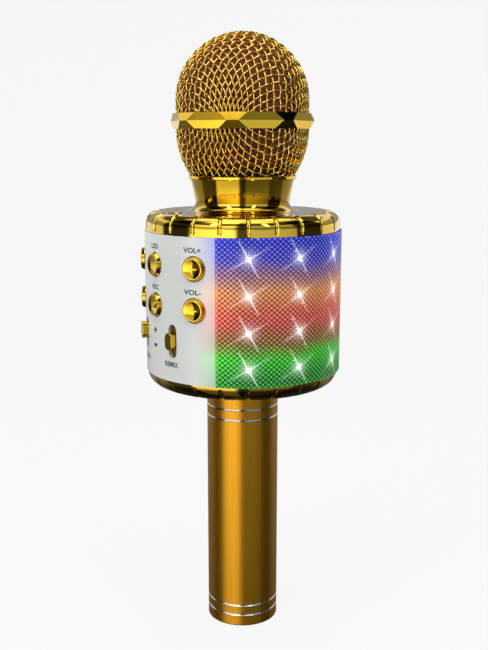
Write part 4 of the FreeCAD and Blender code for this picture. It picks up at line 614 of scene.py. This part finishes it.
def shared_point(u, v):
    """The number of a point on the sheet's face that neighbouring cells share."""
    at_side = round(u * 1e6) if u <= 0 or u >= grille_arc else 0
    key = (round(u / hole_step * 4), round(v / row_step * 4), at_side)
    if key not in point_at:
        point_at[key] = len(grille_points)
        grille_points.append(rolled_point(u, v))
    return point_at[key]


def cell_rim(u, v):
    """The eight shared points round one diamond-shaped cell, counted from its right corner."""
    a, b = hole_step / 2, row_step
    offsets = [(a, 0), (a / 2, b / 2), (0, b), (-a / 2, b / 2),
               (-a, 0), (-a / 2, -b / 2), (0, -b), (a / 2, -b / 2)]
    return [shared_point(u + du, v + dv) for du, dv in offsets]


for row in range(HOLE_ROWS):
    v = GRILLE_EDGE + row_step * (row + 1)
    for column in range(HOLES_ROUND):
        u = GRILLE_EDGE + hole_step * (column + 0.5 + 0.5 * (row % 2))
        rim = cell_rim(u, v)
        first = len(grille_points)
        for depth in (0.0, GRILLE_THICK):
            for k in range(8):
                turn = math.pi * k / 4
                grille_points.append(rolled_point(u + HOLE_RADIUS * math.cos(turn),
                                                  v + HOLE_RADIUS * math.sin(turn), depth))
        for k in range(8):
            n = (k + 1) % 8
            grille_faces.append((rim[k], rim[n], first + n, first + k))
            grille_faces.append((first + k, first + n, first + 8 + n, first + 8 + k))

sheet_high = GRILLE_HIGH - GRILLE_LOW
half = hole_step / 2


def edge_strip(points, outer_points):
    """Closes the sheet between a saw-toothed line of shared points and a straight edge."""
    inner = [shared_point(*p) for p in points]
    outer = [len(grille_points) + k for k in range(len(outer_points))]
    grille_points.extend(rolled_point(u, v) for u, v in outer_points)
    for k in range(len(points) - 1):
        grille_faces.append((inner[k], inner[k + 1], outer[k + 1], outer[k]))
    under = [len(grille_points) + k for k in range(len(outer_points))]
    grille_points.extend(rolled_point(u, v, GRILLE_THICK) for u, v in outer_points)
    for k in range(len(points) - 1):
        grille_faces.append((outer[k], outer[k + 1], under[k + 1], under[k]))


for row, edge_v, inward, kept in ((0, 0.0, 1, slice(2, None)),
                                  (HOLE_ROWS - 1, sheet_high, -1, slice(None, -2))):
    v = GRILLE_EDGE + row_step * (row + 1)
    saw = []
    for column in range(HOLES_ROUND):
        u = GRILLE_EDGE + hole_step * (column + 0.5 + 0.5 * (row % 2))
        saw += [(u - half, v), (u - half / 2, v - inward * row_step / 2), (u, v - inward * row_step),
                (u + half / 2, v - inward * row_step / 2)]
    saw.append((u + half, v))
    edge_strip(saw[kept], [(p[0], edge_v) for p in saw[kept]])
for side_row, edge_u, inward in ((0, 0.0, 1), (1, grille_arc, -1)):
    saw = []
    column = 0 if inward > 0 else HOLES_ROUND - 1
    for row in range(side_row, HOLE_ROWS, 2):
        v = GRILLE_EDGE + row_step * (row + 1)
        u = GRILLE_EDGE + hole_step * (column + 0.5 + 0.5 * (row % 2))
        saw += [(u, v - row_step), (u - inward * half / 2, v - row_step / 2), (u - inward * half, v),
                (u - inward * half / 2, v + row_step / 2)]
    saw.append((u, v + row_step))
    edge_strip(saw, [(edge_u, p[1]) for p in saw])
first_u, last_u = GRILLE_EDGE + half, GRILLE_EDGE + hole_step * HOLES_ROUND
first_v, last_v = GRILLE_EDGE + row_step, GRILLE_EDGE + row_step * HOLE_ROWS
for left, right, low, high in ((0, first_u, 0, GRILLE_EDGE), (last_u, grille_arc, 0, first_v),
                               (0, first_u, last_v, sheet_high),
                               (last_u, grille_arc, sheet_high - GRILLE_EDGE, sheet_high)):
    grille_faces.append(tuple(len(grille_points) + k for k in range(4)))
    corners = (left, low), (right, low), (right, high), (left, high)
    grille_points.extend(rolled_point(u, v) for u, v in corners)

grille_sheet = new_piece("grille_sheet", grille_points, grille_faces)
grille_sheet.data.set_sharp_from_angle(angle=math.radians(35))

# A dark lacquer, whose colour and glow below are painted light.
lacquer, tree, shader, place = finish("grille_lacquer_painted_glow", (0.10, 0.09, 0.10, 1), 0.6, 0.35)
axes = put_node(tree, "ShaderNodeSeparateXYZ", Vector=place)
behind = sum_up(tree, "ARCTAN2", sum_up(tree, "MULTIPLY", axes.outputs["X"], -1.0), axes.outputs["Y"])
from_back = sum_up(tree, "MULTIPLY", behind, GRILLE_RADIUS)
from_start = sum_up(tree, "ADD", from_back, grille_arc / 2 - GRILLE_EDGE)
from_foot = sum_up(tree, "SUBTRACT", axes.outputs["Z"], GRILLE_LOW + GRILLE_EDGE)
rows_up = sum_up(tree, "DIVIDE", from_foot, row_step)
steps_round = sum_up(tree, "DIVIDE", from_start, hole_step / 2)
# Painted glints: bright spots where the webs between four holes cross.
crossing = 0.25
for slant in ("ADD", "SUBTRACT"):
    lattice = sum_up(tree, "MULTIPLY", sum_up(tree, slant, steps_round, rows_up), math.pi)
    glint_stripe = sum_up(tree, "SUBTRACT", 1.0, sum_up(tree, "COSINE", lattice))
    crossing = sum_up(tree, "MULTIPLY", glint_stripe, crossing)
painted_glint = sum_up(tree, "MULTIPLY", sum_up(tree, "POWER", crossing, PAINTED_GLINT_SHARPNESS), PAINTED_GLINT_LIGHT)
# Painted light: the sheet glows in the band colours with the painted stars and glints, and its base colour
# is the band colour too.
glowing(tree, shader, place, GRILLE_PAINTED_GLOW, GRILLE_PAINTED_STARS, painted_glint)
band = band_glow(tree, place)
tree.links.new(band, shader.inputs["Base Color"])
bump(tree, shader, noise(tree, place, 2500.0), 0.00003, 0.3)
grille_sheet.data.materials.append(lacquer)
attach(grille_sheet, "microphone")
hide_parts("speaker_grille")

# ---- Control panel ------------------------------------------------------------------------------
# Curved panel moulded in semi-gloss white plastic, held by four screws from inside. Near its side
# edges the white is darkened and made to glow in the grille's band colours: painted light spilled
# from the grille beside it.
PANEL_WHITE = (0.495, 0.525, 0.53, 1)
PANEL_RADIUS = 0.0398
GLOW_FROM, GLOW_TO = 29.5, 45.0
PAINTED_SPILL_LIGHT, PAINTED_SPILL_DARKENING = 1.15, 0.45

panel_plastic, tree, shader, place = finish("white_moulding", PANEL_WHITE, 0.0, 0.30,
                                            Coat_Weight=0.25, Coat_Roughness=0.12)
axes = put_node(tree, "ShaderNodeSeparateXYZ", Vector=place)
turn = sum_up(tree, "ABSOLUTE", sum_up(tree, "ARCTAN2", axes.outputs["X"],
                                       sum_up(tree, "MULTIPLY", axes.outputs["Y"], -1.0)))
near_edge = put_node(tree, "ShaderNodeMapRange", Value=turn, interpolation_type="SMOOTHSTEP")
near_edge.inputs["From Min"].default_value = math.radians(GLOW_FROM)
near_edge.inputs["From Max"].default_value = math.radians(GLOW_TO)
flow = noise(tree, stretched(tree, place, 1, 1, 0.3), 90.0)
white = colour_ramp(tree, flow, [(0.3, [c * 0.97 for c in PANEL_WHITE[:3]]), (0.7, PANEL_WHITE)])
# Under the painted spill, the white is mixed towards dark grey near the side edges.
spill_darkened_white = put_node(tree, "ShaderNodeMix", data_type="RGBA")
tree.links.new(sum_up(tree, "MULTIPLY", near_edge.outputs["Result"], PAINTED_SPILL_DARKENING), spill_darkened_white.inputs["Factor"])
tree.links.new(white, spill_darkened_white.inputs["A"])
spill_darkened_white.inputs["B"].default_value = (0.05, 0.05, 0.05, 1)
tree.links.new(spill_darkened_white.outputs["Result"], shader.inputs["Base Color"])
# Painted light: near the side edges the panel glows in the grille's band colours.
painted_spill_glow = put_node(tree, "ShaderNodeMix", data_type="RGBA")
tree.links.new(near_edge.outputs["Result"], painted_spill_glow.inputs["Factor"])
painted_spill_glow.inputs["A"].default_value = (0, 0, 0, 1)
tree.links.new(band_glow(tree, place), painted_spill_glow.inputs["B"])
tree.links.new(painted_spill_glow.outputs["Result"], shader.inputs["Emission Color"])
shader.inputs["Emission Strength"].default_value = PAINTED_SPILL_LIGHT
bump(tree, shader, noise(tree, place, 4500.0, detail=2.0), 0.000012, 0.4)
clothe("control_panel", panel_plastic)

# ---- Panel marks --------------------------------------------------------------------------------
# Plain words and signs for what each control does, pad-printed in dark grey ink on the panel. Each
# has its azimuth in degrees, its height on the drum, its width and the height of its letters.
PRINT_GREY = (0.028, 0.028, 0.03, 1)
PRINT_LIFT = 0.00003
LETTER_WEIGHT = 0.028
CAPITAL_HEIGHT = 0.7
MARKS = [("VOL+", 30.2, 0.1634, 0.0076, 0.00190), ("VOL-", 30.2, 0.1475, 0.0076, 0.00190),
         ("LED", 0.0, 0.1636, 0.0056, 0.00185), ("REC", 0.0, 0.1477, 0.0054, 0.00185),
         ("MODE", -30.2, 0.1634, 0.0070, 0.00185), ("PLAY", -30.2, 0.1475, 0.0064, 0.00185),
         ("+", -1.0, 0.1304, 0.0026, 0.0024), ("-", -1.0, 0.1243, 0.0025, 0.0018),
         ("REMIX", 14.6, 0.1183, 0.0076, 0.00190), ("ECHO", -14.6, 0.1183, 0.0066, 0.00190)]

ink, tree, shader, place = finish("grey_ink", PRINT_GREY, 0.0, 0.55)
tinted(tree, shader, PRINT_GREY, noise(tree, place, 3500.0), 0.8, 1.5)
ink_points = []
ink_faces = []
for words, azimuth, height, width, tall in MARKS:
    letters = bpy.data.curves.new("letters", "FONT")
    letters.body = words
    letters.resolution_u = 3
    letters.offset = LETTER_WEIGHT
    lettering = bpy.data.objects.new("letters", letters)
    stage_scene.collection.objects.link(lettering)
    bpy.context.view_layer.update()
    flat = bpy.data.meshes.new_from_object(lettering.evaluated_get(bpy.context.evaluated_depsgraph_get()))
    spots = [v.co.copy() for v in flat.vertices]
    low_x, high_x = min(p.x for p in spots), max(p.x for p in spots)
    low_y, high_y = min(p.y for p in spots), max(p.y for p in spots)
    if words in "+-":
        tall_scale = width / (high_x - low_x)
    else:
        low_y, high_y = 0.0, CAPITAL_HEIGHT
        tall_scale = tall / high_y
    first = len(ink_points)
    for p in spots:
        u = (p.x - (low_x + high_x) / 2) * width / (high_x - low_x)
        v = (p.y - (low_y + high_y) / 2) * tall_scale
        turn = math.radians(azimuth) + u / PANEL_RADIUS
        r = PANEL_RADIUS + PRINT_LIFT
        ink_points.append((r * math.sin(turn), -r * math.cos(turn), height + v))
    ink_faces += [tuple(first + i for i in face.vertices) for face in flat.polygons]
    bpy.data.objects.remove(lettering)
    bpy.data.meshes.remove(flat)
panel_marks = new_piece("panel_marks", ink_points, ink_faces, smooth=False)
panel_marks.data.materials.append(ink)
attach(panel_marks, "microphone")

# ---- Push buttons and slide knobs ---------------------------------------------------------------
# Six round buttons with dished faces and two slide knobs, moulded in plastic and plated the same
# gold as the covers.
TRIM_LACQUER = 0.15

trim_plating = gold_plating("plated_trim", TRIM_LACQUER)
for pushed in ("button_mode", "button_play", "button_lights", "button_record", "button_volume_up",
               "button_volume_down", "echo_knob", "remix_knob"):
    clothe(pushed, trim_plating)

# ---- Collar and band ----------------------------------------------------------------------------
# The collar screws onto the neck and holds the lower bowl of wire. The band covers the joint of the
# two bowls, and is cut all round with long flat facets. Both are plated like the covers.
for plated in ("head_collar", "head_band"):
    clothe(plated, trim_plating)
soften = nodes["head_band"].modifiers.new("soften", "BEVEL")
soften.width = 0.00035
soften.segments = 3
soften.angle_limit = math.radians(4)
soften.harden_normals = True

# ---- Capsule ------------------------------------------------------------------------------------
# A round satin metal capsule, drawn from sheet and closed by rolling. It is pushed into a soft
# black rubber cup on top of a moulded tower inside the head.
CAPSULE_METAL = (0.42, 0.42, 0.43, 1)

capsule_shell, tree, shader, place = finish("capsule_shell", CAPSULE_METAL, 1.0, 0.38)
tinted(tree, shader, CAPSULE_METAL, noise(tree, place, 600.0), 0.9, 1.1)
bump(tree, shader, noise(tree, stretched(tree, place, 1, 1, 6), 1500.0), 0.00002, 0.4)
clothe("microphone_capsule", capsule_shell)
cup_rubber, tree, shader, place = finish("cup_rubber", SOOT_BLACK, 0.0, 0.7)
tinted(tree, shader, SOOT_BLACK, noise(tree, place, 700.0), 0.7, 1.6)
bump(tree, shader, noise(tree, place, 3000.0), 0.00004, 0.5)
clothe("capsule_cup", cup_rubber)

# ---- Foam windscreen ----------------------------------------------------------------------------
# Open-cell foam, dark red brown, moulded as a thick cup. It is pushed up inside the head, where it
# lines both bowls of wire.
FOAM_BROWN = (0.125, 0.032, 0.015, 1)
HEAD_MIDDLE = 0.2189
BAND_LOW = 0.2080
BOWL_CENTRE = -0.0054
FOAM_OUTER = 0.0250
FOAM_THICK = 0.0035
FOAM_BOWL = 0.0304
FOAM_LOW = 0.1932
FOAM_STEPS = 220
FOAM_INNER_END, FOAM_OUTER_END = 0.0004, 0.0002
AXIS_GAP = 0.00002

foam_line = []
for i in range(37):
    lean = math.radians(90 - 2.5 * i)
    foam_line.append((max(AXIS_GAP, (FOAM_OUTER - FOAM_THICK) * math.cos(lean)),
                      HEAD_MIDDLE + (FOAM_OUTER - FOAM_THICK) * math.sin(lean)))
foam_line += [(FOAM_OUTER - FOAM_THICK, HEAD_MIDDLE - 0.0027 * i) for i in range(1, 5)]
for i in range(1, 13):
    z = BAND_LOW - (BAND_LOW - FOAM_LOW - FOAM_INNER_END) * i / 12
    foam_line.append((BOWL_CENTRE + math.sqrt((FOAM_BOWL - FOAM_THICK) ** 2 - (BAND_LOW - z) ** 2), z))
for i in range(25, -1, -1):
    z = BAND_LOW - (BAND_LOW - FOAM_LOW - FOAM_OUTER_END) * i / 25
    foam_line.append((BOWL_CENTRE + math.sqrt(FOAM_BOWL ** 2 - (BAND_LOW - z) ** 2), z))
foam_line += [(FOAM_OUTER, BAND_LOW + 0.0006 * i) for i in range(1, 18)]
for i in range(1, 61):
    lean = math.radians(1.5 * i)
    foam_line.append((max(AXIS_GAP, FOAM_OUTER * math.cos(lean)), HEAD_MIDDLE + FOAM_OUTER * math.sin(lean)))
foam = turned_piece("foam_windscreen", foam_line, FOAM_STEPS)
cells = bpy.data.textures.new("foam_cells", "CLOUDS")
cells.noise_scale = 0.0009
roughen = foam.modifiers.new("roughen", "DISPLACE")
roughen.texture = cells
roughen.strength = 0.00030
roughen.mid_level = 0.85
foam_stuff, tree, shader, place = finish("open_cell_foam", FOAM_BROWN, 0.0, 0.95)
pores = put_node(tree, "ShaderNodeTexVoronoi", Vector=place, Scale=1500.0).outputs["Distance"]
patches = noise(tree, place, 500.0, detail=5.0)
# Painted shade in the pores: the colour darkens towards the middle of each cell.
painted_pore_shade = colour_ramp(tree, pores, [(0.0, (0.25, 0.25, 0.25)), (0.45, (1, 1, 1))])
foam_tint = colour_ramp(tree, patches, [(0.3, [c * 0.6 for c in FOAM_BROWN[:3]]),
                                        (0.7, [c * 1.5 for c in FOAM_BROWN[:3]])])
foam_colour = put_node(tree, "ShaderNodeMix", data_type="RGBA", blend_type="MULTIPLY")
foam_colour.inputs["Factor"].default_value = 0.7
tree.links.new(foam_tint, foam_colour.inputs["A"])
tree.links.new(painted_pore_shade, foam_colour.inputs["B"])
tree.links.new(foam_colour.outputs["Result"], shader.inputs["Base Color"])
bump(tree, shader, pores, 0.0003, 0.8)
foam.data.materials.append(foam_stuff)
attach(foam, "head")
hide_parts("foam_liner")

# ---- Wire bowls ---------------------------------------------------------------------------------
# Plain-woven steel wire, pressed into a dome and a bowl and then plated gold. A pressed square cloth
# keeps its mesh square along the wires that cross its middle, and leans into tall diamonds between.
WIRE_RADIUS = 0.00034
WIRE_CRIMP = 0.00036
WIRE_PITCH = 0.0029
CLOTH_RADIUS = 0.0259
DOME_TURN, BOWL_TURN = 2.0, -5.0
WIRE_SIDES = 7
WIRE_STEPS = 5
WIRE_GOLD = (0.92, 0.62, 0.12)
CLOTH_REACH = 19
BOWL_RADIUS = 0.03135
UPPER_EDGE, LOWER_EDGE = 0.2113, 0.2107
BOWL_EDGE = 0.1881
DOME_STOP, BOWL_STOP = 0.208, 0.214
ABOVE_DOME, ABOVE_BOWL = 0.3, 0.1


def on_dome(p):
    """The nearest point of the dome's cloth, and the way out of it there."""
    if p.z >= HEAD_MIDDLE:
        out = Vector((p.x, p.y, p.z - HEAD_MIDDLE)).normalized()
        return out * CLOTH_RADIUS + Vector((0, 0, HEAD_MIDDLE)), out
    out = Vector((p.x, p.y, 0)).normalized()
    return out * CLOTH_RADIUS + Vector((0, 0, p.z)), out


def on_bowl(p):
    """The nearest point of the lower bowl's cloth, and the way out of it there."""
    flat = Vector((p.x, p.y, 0))
    way = flat.normalized() if flat.length > 1e-9 else Vector((1, 0, 0))
    if p.z >= BAND_LOW:
        return way * CLOTH_RADIUS + Vector((0, 0, p.z)), way
    reach = Vector((flat.length - BOWL_CENTRE, p.z - BAND_LOW)).normalized()
    r = BOWL_CENTRE + BOWL_RADIUS * reach.x
    spot = way * r + Vector((0, 0, BAND_LOW + BOWL_RADIUS * reach.y))
    return spot, way * reach.x + Vector((0, 0, reach.y))


def next_knot(a, b, behind, lay):
    """The crossing one pitch from both a and b, on the far side of them from the one behind."""
    p = lay(a + b - behind)[0]
    for _ in range(12):
        out = lay(p)[1]
        to_a, to_b = p - a, p - b
        rows = (to_a.normalized(), to_b.normalized(), out)
        short = (WIRE_PITCH - to_a.length, WIRE_PITCH - to_b.length, 0.0)
        volume = rows[0].dot(rows[1].cross(rows[2]))
        if abs(volume) < 1e-6:
            return None
        move = (rows[1].cross(rows[2]) * short[0] + rows[2].cross(rows[0]) * short[1]) / volume
        if move.length > WIRE_PITCH / 2:
            move = move.normalized() * WIRE_PITCH / 2
        p = lay(p + move)[0]
        if move.length < 1e-8:
            break
    return p


def weave(lay, start_height, past_edge):
    """Every crossing of a square cloth laid on a bowl, numbered from the cloth's middle."""
    knots = {(0, 0): lay(Vector((1e-7, 0, start_height)))[0]}
    for axis, sign in ((0, 1), (0, -1), (1, 1), (1, -1)):
        p = knots[(0, 0)]
        away = Vector((sign, 0, 0)) if axis == 0 else Vector((0, sign, 0))
        last = away
        for k in range(1, CLOTH_REACH + 1):
            out = lay(p)[1]
            side = Vector((-away.y, away.x, 0))
            ahead = side.cross(out)
            if ahead.dot(away) < 0 and k < 3:
                ahead = -ahead
            if k > 2 and ahead.dot(last) < 0:
                ahead = -ahead
            p = lay(p + ahead.normalized() * WIRE_PITCH)[0]
            last = ahead.normalized()
            knots[(sign * k, 0) if axis == 0 else (0, sign * k)] = p
    for x_way in (1, -1):
        for y_way in (1, -1):
            for i in range(1, CLOTH_REACH + 1):
                for j in range(1, CLOTH_REACH + 1):
                    corner = [knots.get((x_way * m, y_way * n))
                              for m, n in ((i - 1, j), (i, j - 1), (i - 1, j - 1))]
                    if None in corner or past_edge(corner[2]):
                        continue
                    knot = next_knot(*corner, lay)
                    if knot is not None:
                        knots[(x_way * i, y_way * j)] = knot
    return knots


def wire_path(knots, lay, line, inside, first_side):
    """Points along one crimped wire, over one crossing and under the next, in runs that are inside."""
    runs, run = [], []
    for k in range(len(line) - 1):
        ends = [knots.get(line[k + d]) if 0 <= k + d < len(line) else None for d in (-1, 0, 1, 2)]
        if ends[1] is None or ends[2] is None:
            run = []
            continue
        before = ends[0] if ends[0] is not None else ends[1] * 2 - ends[2]
        after = ends[3] if ends[3] is not None else ends[2] * 2 - ends[1]
        side = first_side * (1 if sum(line[k]) % 2 == 0 else -1)
        for step in range(WIRE_STEPS):
            t = step / WIRE_STEPS
            bend_in, bend_out = (ends[2] - before) / 2, (after - ends[1]) / 2
            p = (ends[1] * (2 * t ** 3 - 3 * t ** 2 + 1) + bend_in * (t ** 3 - 2 * t ** 2 + t)
                 + ends[2] * (3 * t ** 2 - 2 * t ** 3) + bend_out * (t ** 3 - t ** 2))
            p, out = lay(p)
            p = p + out * (WIRE_CRIMP * side * math.cos(math.pi * t))
            if inside(p):
                if not run:
                    runs.append(run)
                run.append((p, out))
            else:
                run = []
    return [run for run in runs if len(run) > 2]


def tube(points, faces, run):
    """A round wire along a run of points."""
    first = len(points)
    for k, (p, out) in enumerate(run):
        ahead = (run[min(k + 1, len(run) - 1)][0] - run[max(k - 1, 0)][0]).normalized()
        side = ahead.cross(out).normalized()
        up = side.cross(ahead)
        for s in range(WIRE_SIDES):
            turn = 2 * math.pi * s / WIRE_SIDES
            points.append(p + (side * math.cos(turn) + up * math.sin(turn)) * WIRE_RADIUS)
    for k in range(len(run) - 1):
        here, there = first + k * WIRE_SIDES, first + (k + 1) * WIRE_SIDES
        for s in range(WIRE_SIDES):
            n = (s + 1) % WIRE_SIDES
            faces.append((here + s, here + n, there + n, there + s))
    last = first + (len(run) - 1) * WIRE_SIDES
    faces.append(tuple(first + s for s in reversed(range(WIRE_SIDES))))
    faces.append(tuple(last + s for s in range(WIRE_SIDES)))


def wire_cloth(name, lay, start_height, past_edge, inside, weave_turn):
    """One pressed bowl of woven wire as a single piece."""
    knots = weave(lay, start_height, past_edge)
    points, faces = [], []
    across = range(-CLOTH_REACH, CLOTH_REACH + 1)
    for m in across:
        for line, first_side in (([(m, n) for n in across], 1), ([(n, m) for n in across], -1)):
            for run in wire_path(knots, lay, line, inside, first_side):
                tube(points, faces, run)
    turn = math.radians(weave_turn)
    points = [(p.x * math.cos(turn) - p.y * math.sin(turn), p.x * math.sin(turn) + p.y * math.cos(turn), p.z)
              for p in points]
    return new_piece(name, points, faces)


plated_wire, tree, shader, place = finish("plated_wire", GOLD, 1.0, 0.08)
tinted(tree, shader, WIRE_GOLD, noise(tree, place, 350.0), 0.9, 1.08)
tree.links.new(spread(tree, noise(tree, place, 2500.0), 0.05, 0.14), shader.inputs["Roughness"])
wire_dome = wire_cloth("wire_dome", on_dome, ABOVE_DOME, lambda p: p.z < DOME_STOP,
                       lambda p: p.z > UPPER_EDGE, DOME_TURN)
wire_bowl = wire_cloth("wire_bowl", on_bowl, ABOVE_BOWL, lambda p: p.z > BOWL_STOP,
                       lambda p: BOWL_EDGE < p.z < LOWER_EDGE, BOWL_TURN)
for cloth, cad_node in ((wire_dome, "upper_mesh"), (wire_bowl, "lower_mesh")):
    cloth.data.materials.append(plated_wire)
    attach(cloth, "head")
    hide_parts(cad_node)
